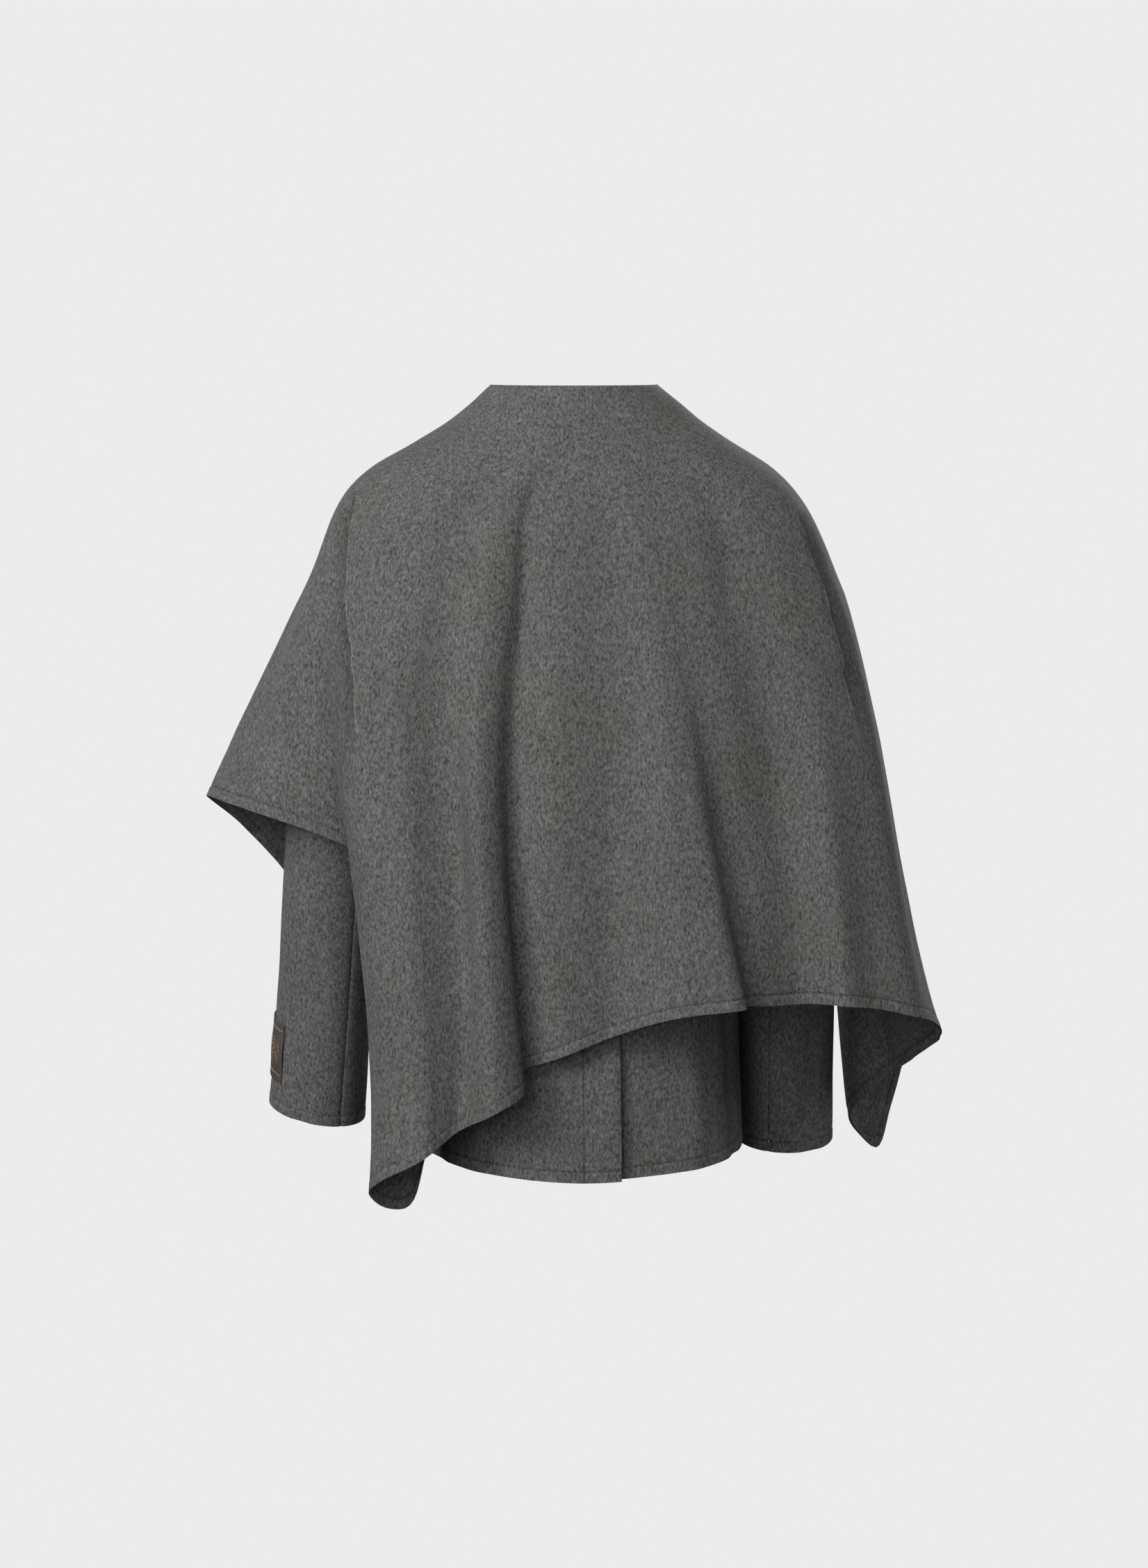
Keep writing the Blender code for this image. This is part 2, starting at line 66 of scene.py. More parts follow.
# Cloth
WALL = 2.5 * MM              # double-faced melton
RIM_ROUND = 0.36             # rounding of its rims, as a share of the wall
RIM_ANGLE = math.radians(50)    # of the edges that are rounded
WAVE = 1.2 * MM              # how far it lies uneven
WIDE_WAVES = 16              # cells for each metre of the noise it lies by
WIDE_WAVES_DOWN = 6
FINE_WAVES = 45
FINE_WAVES_DOWN = 22
FINE_WAVES_START = 7         # where in the noise the fine waves begin
FINE_WAVES_SHARE = 0.35      # of the wide ones' height
QUIET_WIDTH = 30 * MM        # from a seam or the neck, over which that begins
FAR = 1.0                    # a distance from an edge or a line that the piece doesn't have
SEAM_GAP = 0.04 * MM
ARMHOLE_GAP = 0.7 * MM
SEAM_ROLL = 0.9 * MM         # how far the cloth sinks at a seam
SEAM_ROLL_WIDTH = 5 * MM
HEM_STITCH = 11 * MM         # distance of the stitch line from a finished edge
HEM_GROOVE = 0.55 * MM
HEM_GROOVE_WIDTH = 2.2 * MM
HEM_PUFF = 0.35 * MM         # how far the turned edge stands proud of the cloth
HEM_PUFF_FADE = (2 * MM, 1 * MM)    # before and after the stitch line, between which it goes away
FIRMNESS = 0.75              # how firmly the stitches pull the cloth in, where 1 is all the way
FIRMNESS_SPREAD = 0.25
FIRMNESS_CELLS = 9           # for each metre of the noise it varies by
FIRMNESS_START = Vector((3, 5, 8))
FIRMNESS_GAIN = 2.2
EDGE_STEPS = (0, 0.7, 1.8, 4, 7, 9.2, 10.4, 11, 11.6, 12.8, 15, 19)   # mm from a finished edge

# Neckline of the jacket
NECK_HALF_WIDTH = 76 * MM
NECK_BACK = 68 * MM
NECK_FRONT = 85 * MM
NECK_TOP = 29.5 * MM
NECK_DROP = 76.5 * MM
SECTION_SINK = 1.5

# Shoulder and armhole
SHOULDER_SAG = 4 * MM
SHOULDER_TIP = Vector((185, 0, -57)) * MM
ARMPIT = Vector((160, 0, -235)) * MM
ARMHOLE_HALF_DEPTH = 58 * MM

# Body of the jacket
HEM_Z = -730 * MM
HEM_SHIFT = -10 * MM
VENT_TOP = -430 * MM
VENT_SLANT = 34 * MM
VENT_FLAP = 36 * MM
VENT_UNDERLAY = 30 * MM
UNDERLAY_DEPTH_TOP = 4 * MM
UNDERLAY_DEPTH_HEM = 11 * MM
UNDERLAY_RISE = (70 * MM, 25 * MM)
UNDERLAY_FADE = (20 * MM, 112 * MM)
FRONT_OVERLAP = 25 * MM
FRONT_STEP = 3.5 * MM
FRONT_FADE = (6 * MM, 50 * MM)

# Sleeves
BACK_SEAM = {"left": (136, 122), "right": (118, 112)}
FRONT_SEAM = 232

# Patch
PATCH_TOP = -596 * MM
PATCH_BOTTOM = -657 * MM
PATCH_FROM = -25
PATCH_TO = 42
PATCH_WALL = 1.4 * MM
PATCH_GAP = 0.42 * MM
PATCH_STILL = 20 * MM        # above and below it, over which the sleeve begins to lie uneven
PATCH_ROWS = 48
PATCH_COLUMNS = 56
PATCH_SEAM = 8 * MM          # from each end to the row of stitches that holds it
PATCH_LIFT = 1.5 * MM        # how far its loose sides stand off the sleeve between the two rows
PATCH_MIDDLE_LIFT = 0.25     # share of that which its middle stands off
PATCH_PINCH = 0.25 * MM      # how far its stitches pull it in
PATCH_PINCH_WIDTH = 1.6 * MM
PATCH_RIM_ROUND = 0.3
PATCH_SEAM_MARGIN = 0.03     # share of the patch's width from each side to the end of its seams
PATCH_SEAM_POINTS = 40
STITCH = 3.1 * MM
STITCH_PITCH = 3.6 * MM
STITCH_RISE = ((0, -0.4), (0.12, 0.5), (0.5, 0.85), (0.88, 0.5), (1, -0.4))    # along it, in thread radii
THREAD = 0.28 * MM           # radius
THREAD_SIDES = 6
THREAD_END = 0.45            # of the thread's radius at its two ends
LOZENGES = 5
LOZENGE_MARGIN = 0.07        # share of the patch's width at each side of the row of lozenges
LOZENGE_WIDTH = 0.94         # share of its room that a lozenge takes up
LOZENGE_HALF_HEIGHT = 13 * MM
LOZENGE_SIZES = (1.0, 0.55)  # the outer one and the one inside it
LOZENGE_CORNERS = ((-1, 0), (0, 1), (1, 0), (0, -1), (-1, 0))
LOZENGE_CORNER_GAP = 0.04    # share of a side from each corner to its stitches
LOZENGE_POINTS = 6           # on each side

# Buttons
BUTTON_GAP = 0.5 * MM
BUTTON_COUNT = 4
BUTTON_FIRST = -110 * MM
BUTTON_STEP = -125 * MM
BUTTON_STILL = 30 * MM       # half the width of the cloth that lies still under the buttons
BUTTON_SIDES = 64
BUTTON_DISH = 6.9 * MM       # radius of the hollow in its face
BUTTON_WEB = 2.7 * MM        # height of the hollow's floor
BUTTON_HOLE = 0.95 * MM
BUTTON_HOLE_SIDES = 16
BUTTON_HOLE_OUT = 2.1 * MM   # from the middle to each of its four holes, along both ways
BUTTON_HOLES = [(x * BUTTON_HOLE_OUT, y * BUTTON_HOLE_OUT) for x in (-1, 1) for y in (-1, 1)]
BUTTON_THREAD = 0.3 * MM     # radius
BUTTON_THREAD_LINE = ((-1, 0), (-0.7, 0.5), (0, 0.65), (0.7, 0.5), (1, 0))    # share out, mm over the floor
BUTTON_MERGE = 0.02 * MM     # points nearer than this are one
BUTTON_PROFILE = (
    # radius and height, from the hollow over the rim to the back, in mm
    (6.9, 2.7), (7.15, 3.0), (7.5, 3.6), (8.1, 3.92), (8.9, 4.0), (9.6, 3.85), (10.3, 3.4),
    (10.75, 2.7), (11.0, 1.8), (10.95, 0.9), (10.6, 0.3), (9.9, 0.0), (6.9, 0.0),
)
HOLE_LENGTH = 25 * MM        # of a button hole in the cloth
HOLE_NEAR = 3 * MM           # how far it reaches past the button's middle
HOLE_CORD = 1.0 * MM         # radius of its stitched edge
HOLE_SLIT = 0.9 * MM         # half the distance between its two edges
HOLE_CORD_RISE = 0.1         # share of that radius by which its middle stands over the cloth
HOLE_SINK = 0.5 * MM         # how far the cloth falls away along its length
HOLE_STEPS = 12              # round each of its ends and along each side

# Cape
CAPE_NECK_OUT = 2.9 * MM
CAPE_NECK_SIDE = 1.9 * MM
CAPE_NECK_RISE = 1.5 * MM
CAPE_RINGS = (
    # name, half width left, half width right, back depth, front depth, side z, back z, front z
    ("neck base", 119, 121, 91, 97, -2, -22, -56),
    ("shoulder", 217, 213, 112, 111, -68, -80, -92),
    ("arm", 264, 266, 131, 130, -172, -176, -184),
)
CAPE_FULLNESS = 0.85
CAPE_SHOULDER_OUT = 0.4
CAPE_LEVELS = (6, 10, 12, 60)    # levels worked out down to the neck base, the shoulder, the arm and the hem
CAPE_ROWS = 110
CAPE_COLUMN = 8 * MM

CAPE_FOLDS = (
    # name, around, out, bow, hem x, hem y, hem z
    ("left front edge",       157,  0,   0,  118, -186, -690),
    ("left front fold",       147,  2,   0,  176, -196, -655),
    ("left front hollow",     137, -2,   0,  222, -162, -585),
    ("arm front low",         128,  0,   0,  266, -140, -512),
    ("arm front",             117,  2,   0,  298, -115, -463),
    ("arm front high",        107,  2,   0,  337,  -76, -411),
    ("arm lobe",               92,  2,   1,  363,  -10, -374),
    ("arm back high",          80,  2,  -2,  337,   30, -377),
    ("arm back",               71, -3,   0,  288,   56, -389),
    ("arm back low",           64, -8,   0,  240,   66, -405),
    ("arm tuck",               59, -5,   0,  204,   64, -423),
    ("pleat floor",            57, -2,   0,  169,   76, -536),
    ("pleat floor low",        56, -1,   0,  144,   90, -643),
    ("pleat edge",             55,  0,  -6,  145,  104, -712),
    ("back corner",            54,  1, -14,  165,  114, -761),
    ("corner turn",            53,  3, -20,  183,  123, -758),
    ("left fold edge",         51,  5, -20,  197,  141, -740),
    ("left fold top",          47,  6, -12,  184,  165, -722),
    ("ridge a",                31,  7,  -4,  146,  186, -698),
    ("shallow valley",         22, -4, -12,  108,  170, -671),
    ("ridge b",                15,  7,   0,   76,  194, -651),
    ("ridge b edge",           11,  3,   6,   46,  172, -634),
    ("deep valley",             8, -7,   7,   53,  145, -622),
    ("ridge d",                 3,  1,   5,   12,  154, -604),
    ("flat back",              -6, -3,   0,  -46,  148, -582),
    ("ridge e",               -13,  4,   2, -104,  180, -560),
    ("crease lip",            -16,  1,   4, -162,  174, -554),
    ("crease floor",          -19, -2,   4, -166,  146, -556),
    ("crease ridge",          -25, -4,   0, -188,  139, -557),
    ("valley g",              -33, -9,  -4, -226,  127, -557),
    ("ridge h",               -45,  4,   0, -262,  148, -556),
    ("hollow hi",             -54,  6,   0, -292,  128, -562),
    ("ridge i",               -66,  6,   4, -328,  116, -572),
    ("right side back",       -78,  0,   9, -353,   60, -589),
    ("right side",            -92, -1,  11, -365,   10, -609),
    ("right arm front",      -107,  0,   9, -349,  -54, -645),
    ("right arm low",        -120,  0,   0, -312,  -94, -682),
    ("cascade fold",         -133,  0,   0, -287, -126, -723),
    ("cascade back",         -139,  0,   0, -296, -146, -745),
    ("front corner",         -145,  0,   0, -316, -157, -765),
    ("right front edge low", -151,  0,   0, -332, -166, -722),
    ("right front edge",     -157,  0,   0, -346, -174, -672),
)

BODY_SECTIONS = (
    # edge, along, edge z, back z, back depth, front z, front depth, fullness
    ("shoulder",  0.0, None, 29.5,  68, -47.0,  85, 1.00),
    ("shoulder", 0.35, None,   -2,  78,   -72,  92, 0.95),
    ("shoulder", 0.70, None,  -32,  87,   -92,  98, 0.92),
    ("shoulder",  1.0, None,  -64,  95,  -112, 103, 0.89),
    ("armhole",    45, None,  -95, 102,  -132, 107, 0.87),
    ("armhole",    85, None, -135, 109,  -155, 111, 0.86),
    ("armhole",   125, None, -180, 115,  -188, 115, 0.85),
    ("armhole",   160, None, -218, 120,  -220, 119, 0.85),
    ("armhole",   180, None, -240, 121,  -240, 120, 0.85),
    ("side",      156, -330, -330, 122,  -330, 120, 0.84),
    ("side",      153, -450, -450, 124,  -450, 120, 0.83),
    ("side",      155, -600, -602, 134,  -602, 128, 0.82),
    ("side",      158, -717, -730, 141,  -723, 134, 0.78),
)
BODY_COLUMNS = 44
BODY_LEVEL = 12 * MM
BODY_ROWS = 70

SLEEVE_HEAD = (
    # under x, under z, outer x, outer z, half depth, centre y, back drop
    (160.0, -235.0, 185.0, -57.0, 58, 0, 0),
    (162.4, -235.4, 187.5, -57.4, 58, 0, 0),
    (163.4, -240.0, 205.0, -79.0, 60, 0, 0),
    (164.0, -244.0, 225.0, -110.0, 61, 0, 0),
    (164.6, -249.0, 239.5, -145.0, 61, 0, 0),
    (165.2, -256.0, 250.0, -190.0, 60, -1, 0),
    (166.5, -277.0, 258.0, -250.0, 58, -3, 1),
)
SLEEVE_ARM = {
    "left": (
        (173, -345, 277, -335, 55, -8, 2),
        (190, -445, 287, -430, 52, -17, 4),
        (200, -565, 295, -553, 49, -27, 6),
        (210, -704, 306, -687, 46, -36, 7),
    ),
    "right": (
        (166, -345, 264, -335, 54, -12, 2),
        (165, -445, 264, -430, 52, -25, 4),
        (163, -585, 262, -575, 49, -42, 6),
        (163, -728, 261, -729, 47, -55, 7),
    ),
}
SLEEVE_LEVEL = 10 * MM
SLEEVE_ROWS = 70
SLEEVE_COLUMN = 3.2          # degrees

# Soft creases: troughs are below zero and ridges above it. "down" is the share of the way to the
# hem. On the cape "across" is in degrees as for its folds, on a panel it is the share of the way
# from the centre to the side seam, and on a sleeve the degrees round it.
CREASES = {
    "cape": (
        # name, across and down at the top, across and down at the bottom, half width, height
        ("arm trough",              87, 0.34,   79, 1.00, 24, -4.5),
        ("arm rim",                 97, 0.40,   93, 1.00, 18,  1.5),
        ("left back neck drag",     44, 0.05,   33, 0.42, 16, -1.6),
        ("middle neck drag",         9, 0.10,    7, 0.45, 12, -2.2),
        ("right back neck drag",   -38, 0.06,  -30, 0.44, 15, -1.5),
        ("ridge a crest",           30, 0.40,   30, 1.00, 16,  2.0),
        ("shallow valley floor",    21, 0.42,   22, 1.00, 12, -2.0),
        ("ridge e crest",          -13, 0.45,  -13, 1.00, 17,  2.0),
        ("flat back line",          -5, 0.50,   -4, 1.00,  9, -1.5),
        ("ridge h crest",          -46, 0.48,  -45, 1.00, 16,  2.0),
        ("right side trough",      -86, 0.36,  -88, 0.98, 20, -3.0),
        ("right arm ridge",        -98, 0.38,  -99, 1.00, 18,  4.0),
        ("right arm trough",      -106, 0.42, -107, 1.00, 17, -4.5),
        ("right front ridge",     -117, 0.36, -116, 1.00, 20,  4.5),
        ("right front trough",    -127, 0.34, -126, 0.98, 16, -4.0),
        ("right edge ridge",      -141, 0.30, -139, 0.94, 18,  3.0),
        ("left front ridge",       108, 0.36,  110, 1.00, 18,  3.0),
        ("left front trough",      118, 0.32,  121, 1.00, 18, -4.0),
        ("left front soft ridge",  129, 0.30,  131, 1.00, 16,  4.0),
        ("left edge trough",       140, 0.32,  141, 0.97, 15, -3.0),
    ),
    "back_left": (
        ("seat ridge",            0.42, 0.50, 0.46, 1.00, 20,  2.0),
        ("side trough",           0.74, 0.42, 0.70, 1.00, 18, -2.5),
    ),
    "back_right": (
        ("seat ridge",            0.50, 0.52, 0.46, 1.00, 18,  1.6),
        ("side trough",           0.72, 0.44, 0.76, 1.00, 17, -2.5),
    ),
    "front_left": (
        ("chest ridge",           0.55, 0.22, 0.50, 0.70, 20,  2.0),
        ("side trough",           0.78, 0.45, 0.72, 1.00, 18, -2.5),
    ),
    "front_right": (
        ("chest ridge",           0.58, 0.20, 0.52, 0.72, 19,  2.0),
        ("side trough",           0.76, 0.48, 0.70, 1.00, 18, -2.5),
        ("skirt ridge",           0.48, 0.66, 0.46, 1.00, 18,  1.8),
    ),
    "sleeve_left_upper": (
        ("elbow trough",          -108, 0.47,  -40, 0.55, 13, -3.5),
        ("elbow ridge",           -106, 0.52,  -50, 0.61, 12,  2.5),
        ("forearm trough",        -104, 0.60,  -62, 0.68, 11, -2.2),
        ("upper arm trough",      -100, 0.34,  -30, 0.30, 16, -2.2),
        ("back fold",               96, 0.52,   84, 1.00, 14, -1.8),
    ),
    "sleeve_right_upper": (
        ("elbow trough",          -112, 0.50,  -44, 0.57, 13, -3.2),
        ("elbow ridge",           -108, 0.55,  -56, 0.62, 12,  2.4),
        ("forearm trough",        -100, 0.64,  -58, 0.70, 11, -2.2),
        ("upper arm trough",       -96, 0.36,  -26, 0.31, 16, -2.4),
        ("back fold",               70, 0.55,   64, 1.00, 15, -1.6),
    ),
}

# Crisp folds of the cape: the cloth on the side of the centre back stands up and the rest goes
# under it. Each is a line over the back of the cape, from its top down.
FOLD_EDGES = (
    # name, half width, height, x and z of the points of the line
    ("left fold edge", 30, 6.0,
     ((209, -74), (215, -110), (217, -175), (211, -240), (207, -300), (206, -400))),
    ("right fold edge", 28, 4.5, ((-213, -84), (-246, -180), (-268, -268), (-282, -330))),
)
FOLD_BACK = 0                # the points of such a line lie further back than this
FOLD_STEPS = 6               # between two of its points
CREASE_POINTS = 14
CREASE_FADE = 0.3            # share of its length over which a crease comes up
FOLD_EDGE_WIDTH = 3.5 * MM   # over which a crisp fold goes from its top to the cloth under it
FOLD_STAND = 0.35            # share of its height that stands above the plain cloth
FOLD_FADE = (0.06, 0.5)      # shares of its length over which a crisp fold comes up and goes away

# Wool: scale in cells for each metre, stretch, detail and roughness of each noise
FIBRES = (480, (1, 1, 0.5), 3.0, 0.75)
TUFTS = (190, (1, 1, 0.6), 2.0, 0.6)
CLOUDS = (14, (1, 1, 0.7), 2.0, 0.5)
CASTS = (9, (1, 1, 1), 2.0, 0.5)
WOOL_GREY = (0.1195, 0.1195, 0.1195, 1)
WOOL_GREEN_GREY = (0.1165, 0.1180, 0.1115, 1)
STITCH_SHADE = 0.55          # of the wool's colour along a stitch line
STITCH_LINE = (0.3 * MM, 1.6 * MM)    # from its middle, where it begins to fade and where it ends
VENT_LINE = (0.3 * MM, 1.3 * MM)
VENT_LINE_DEPTH = 0.9        # next to a hem's stitches
# Painted light on the cape's crisp folds, in the colour of the wool: a painted highlight along each crest and
# painted shade on the cloth beyond its edge
PAINTED_HIGHLIGHT_PLACE = 1.8 * MM       # from the edge of a crisp fold to the line of its painted highlight, towards the centre back
PAINTED_HIGHLIGHT_LINE = (0.6 * MM, 1.8 * MM)
PAINTED_HIGHLIGHT_STRENGTH = 0.75           # how much paler the colour is painted there: a painted highlight along the fold's crest
PAINTED_SHADE_LINE = (1 * MM, 29 * MM)    # beyond that edge, where the colour is painted darker: painted shade under the fold
PAINTED_SHADE_STRENGTH = 0.4
NAP_HEIGHT = 0.6 * MM


# Smooth curves

def slope(knots, points, i):
    """Slope at a point of a smooth curve. The curve is straight at its two ends."""
    last = len(points) - 1
    before = (points[i] - points[i - 1]) / (knots[i] - knots[i - 1]) if i > 0 else None
    after = (points[i + 1] - points[i]) / (knots[i + 1] - knots[i]) if i < last else None
    if before is None:
        return after
    if after is None:
        return before
    left = knots[i] - knots[i - 1]
    right = knots[i + 1] - knots[i]
    return (before * right + after * left) / (left + right)


def on_curve(knots, points, place):
    """A point on the smooth curve. place is the number of a knot and the share of the way to the next."""
    i, t = place
    if t == 0:
        return points[i]
    span = knots[i + 1] - knots[i]
    start = slope(knots, points, i) * span
    end = slope(knots, points, i + 1) * span
    return (points[i] * (1 + 2 * t) * (1 - t) ** 2 + start * t * (1 - t) ** 2
            + points[i + 1] * t ** 2 * (3 - 2 * t) + end * t ** 2 * (t - 1))


def spaced(knots, widest):
    places = []
    for i in range(len(knots) - 1):
        steps = max(1, math.ceil((knots[i + 1] - knots[i]) / widest))
        places += [(i, k / steps) for k in range(steps)]
    return places + [(len(knots) - 1, 0)]


def distances(points):
    total = [0.0]
    for a, b in zip(points, points[1:]):
        total.append(total[-1] + (b - a).length)
    return total


def signed_power(value, power):
    return math.copysign(abs(value) ** power, value)


def ramp(value, low, high):
    """0 at low and 1 at high, with soft ends."""
    t = min(1.0, max(0.0, (value - low) / (high - low)))
    return t * t * (3 - 2 * t)


def bump(value, half_width):
    """1 at 0 and 0 from half_width on, with soft ends."""
    t = min(1.0, abs(value) / half_width)
    return (1 - t * t) ** 2


def even_and_edges(length, count, finished_start, finished_end):
    """Distances along a line: even steps, with the finer steps of a finished edge at its ends."""
    head = [d * MM for d in EDGE_STEPS] if finished_start else [0.0]
    tail = [length - d * MM for d in reversed(EDGE_STEPS)] if finished_end else [length]
    room = tail[0] - head[-1]
    return head + [head[-1] + room * k / count for k in range(1, count)] + tail


def resampled(line, count, finished_start=False, finished_end=False):
    """The same line with its points at those distances."""
    knots = distances(line)
    out = []
    i = 0
    for want in even_and_edges(knots[-1], count, finished_start, finished_end):
        while i < len(line) - 2 and knots[i + 1] < want:
            i += 1
        share = (want - knots[i]) / (knots[i + 1] - knots[i])
        out.append(line[i].lerp(line[i + 1], min(1.0, max(0.0, share))))
    return out


def turned(grid):
    """Rows for columns."""
    return [list(line) for line in zip(*grid)]


def evened(rows, count):
    """The same grid with even rows, and the finer rows of a hem at its foot."""
    return turned([resampled(line, count, False, True) for line in turned(rows)])


def even(low, high, count):
    """Values in even steps from low to high."""
    return [low + (high - low) * k / (count - 1) for k in range(count)]


# Sheets of cloth

def facing_out(points, outward):
    """The grid with its face outward, and whether its rows had to be reversed for that."""
    row = len(points) // 2
    column = len(points[0]) // 2
    here = points[row][column]
    normal = (points[row][column + 1] - here).cross(points[row + 1][column] - here)
    if normal.dot(outward(here)) > 0:
        return points, False
    return [list(reversed(line)) for line in points], True


def from_middle(point):
    return Vector((point.x, point.y, 0))


def at_share(values, share):
    """The value at a place between two of the list. share is the number of an item, with its fraction."""
    i = min(len(values) - 2, max(0, int(share)))
    return values[i] + (values[i + 1] - values[i]) * (share - i)


def as_array(points):
    return np.array([[tuple(point) for point in line] for line in points])


def crease_relief(points, across, creases):
    """How far each point of a grid stands out for the creases in a table.

    across gives each column's place, in the units of the table, and rises or falls all the way.
    """
    grid = as_array(points)
    rows = len(points)
    columns = np.arange(len(across))
    order = 1 if across[-1] > across[0] else -1
    relief = np.zeros(grid.shape[:2])
    for _, first, top, last, bottom, half_width, height in creases:
        path = []
        for share in even(0, 1, CREASE_POINTS + 1):
            place = first + (last - first) * share
            column = float(np.interp(place * order, np.array(across) * order, columns))
            row = (top + (bottom - top) * share) * (rows - 1)
            upper = at_share(grid[int(row)], column)
            lower = at_share(grid[min(rows - 1, int(row) + 1)], column)
            path.append(upper + (lower - upper) * (row - int(row)))
        nearest, along, _ = near_path(grid, path)
        fade = smooth(along / CREASE_FADE)
        if bottom < 1:
            fade = fade * smooth((1 - along) / CREASE_FADE)
        relief += height * MM * fade * (1 - np.clip(nearest / (half_width * MM), 0, 1) ** 2) ** 2
    return relief


def near_path(grid, path):
    """For each point of a grid: how far it is from a path, the share of the path at which it is
    nearest, and how much further out to the side than the path it lies."""
    nearest = np.full(grid.shape[:2], FAR)
    along = np.zeros(grid.shape[:2])
    beyond = np.zeros(grid.shape[:2])
    for k in range(len(path) - 1):
        start, step = path[k], path[k + 1] - path[k]
        share = np.clip(((grid - start) @ step) / (step @ step), 0, 1)
        foot = start + share[..., None] * step
        gap = np.linalg.norm(grid - foot, axis=2)
        closer = gap < nearest
        nearest = np.where(closer, gap, nearest)
        along = np.where(closer, (k + share) / (len(path) - 1), along)
        beyond = np.where(closer, (grid[..., 0] - foot[..., 0]) * np.sign(start[0]), beyond)
    return nearest, along, beyond


def fold_edge_relief(points, fold_edges):
    """How far each point of the cape stands out for its crisp folds, and how it lies to their edges."""
    grid = as_array(points)
    relief = np.zeros(grid.shape[:2])
    folds = np.zeros((*relief.shape, 2))
    folds[..., 0] = FAR
    for _, half_width, height, line in fold_edges:
        marks = []
        for x, z in line:
            miss = np.hypot(grid[..., 0] - x * MM, grid[..., 2] - z * MM)
            miss = np.where(grid[..., 1] > FOLD_BACK, miss, FAR)
            marks.append(grid[np.unravel_index(np.argmin(miss), miss.shape)])
        steps = (len(marks) - 1) * FOLD_STEPS
        path = [at_share(marks, k / FOLD_STEPS) for k in range(steps + 1)]
        nearest, along, beyond = near_path(grid, path)
        under = smooth(0.5 + np.sign(beyond) * nearest / FOLD_EDGE_WIDTH)
        fade = smooth(along / FOLD_FADE[0]) * smooth((1 - along) / FOLD_FADE[1])
        relief += height * MM * fade * (FOLD_STAND - under) * (1 - smooth(nearest / (half_width * MM)))
        close = nearest < half_width * MM
        folds[close, 0] = (np.sign(beyond) * nearest)[close]
        folds[close, 1] = fade[close]
    return relief, folds


def smooth(share):
    share = np.clip(share, 0, 1)
    return share * share * (3 - 2 * share)


def edge_relief(distance, firmness):
    """How far the cloth stands out at that distance from a finished edge."""
    groove = firmness * HEM_GROOVE * bump(distance - HEM_STITCH, HEM_GROOVE_WIDTH)
    before, after = HEM_PUFF_FADE
    return HEM_PUFF * (1 - ramp(distance, HEM_STITCH - before, HEM_STITCH + after)) - groove


def waviness(point):
    """The uneven lie of the cloth, longer down the cloth than across it."""
    wide = noise.noise(Vector((point.x * WIDE_WAVES, point.y * WIDE_WAVES, point.z * WIDE_WAVES_DOWN)))
    fine = noise.noise(Vector((point.x * FINE_WAVES, point.y * FINE_WAVES,
                               point.z * FINE_WAVES_DOWN + FINE_WAVES_START)))
    return WAVE * (wide + FINE_WAVES_SHARE * fine)


def stitch_firmness(point):
    """How firmly the stitches pull the cloth in, in long uneven stretches."""
    uneven = FIRMNESS_GAIN * noise.noise(point * FIRMNESS_CELLS + FIRMNESS_START)
    return FIRMNESS + FIRMNESS_SPREAD * min(1.0, max(-1.0, uneven))


def new_item(name, shape, material):
    """A smooth object of a bmesh."""
    mesh = bpy.data.meshes.new(name)
    shape.to_mesh(mesh)
    shape.free()
    mesh.shade_smooth()
    mesh.materials.append(material)
    item = bpy.data.objects.new(name, mesh)
    bpy.context.scene.collection.objects.link(item)
    return item


def add_wall(item, wall, rim_round):
    """Makes a sheet with rounded rims of an open surface."""
    shell = item.modifiers.new("Wall", "SOLIDIFY")
    shell.thickness = wall
    shell.offset = -1.0
    rim = item.modifiers.new("Rim", "BEVEL")
    rim.limit_method = "ANGLE"
    rim.angle_limit = RIM_ANGLE
    rim.width = wall * rim_round
    rim.segments = 2
    return shell


def place_item(item, node=None):
    """Hides the solid that the object stands for, if one is given. It rides on the coat."""
    if node:
        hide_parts(node)
    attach(item, "root")


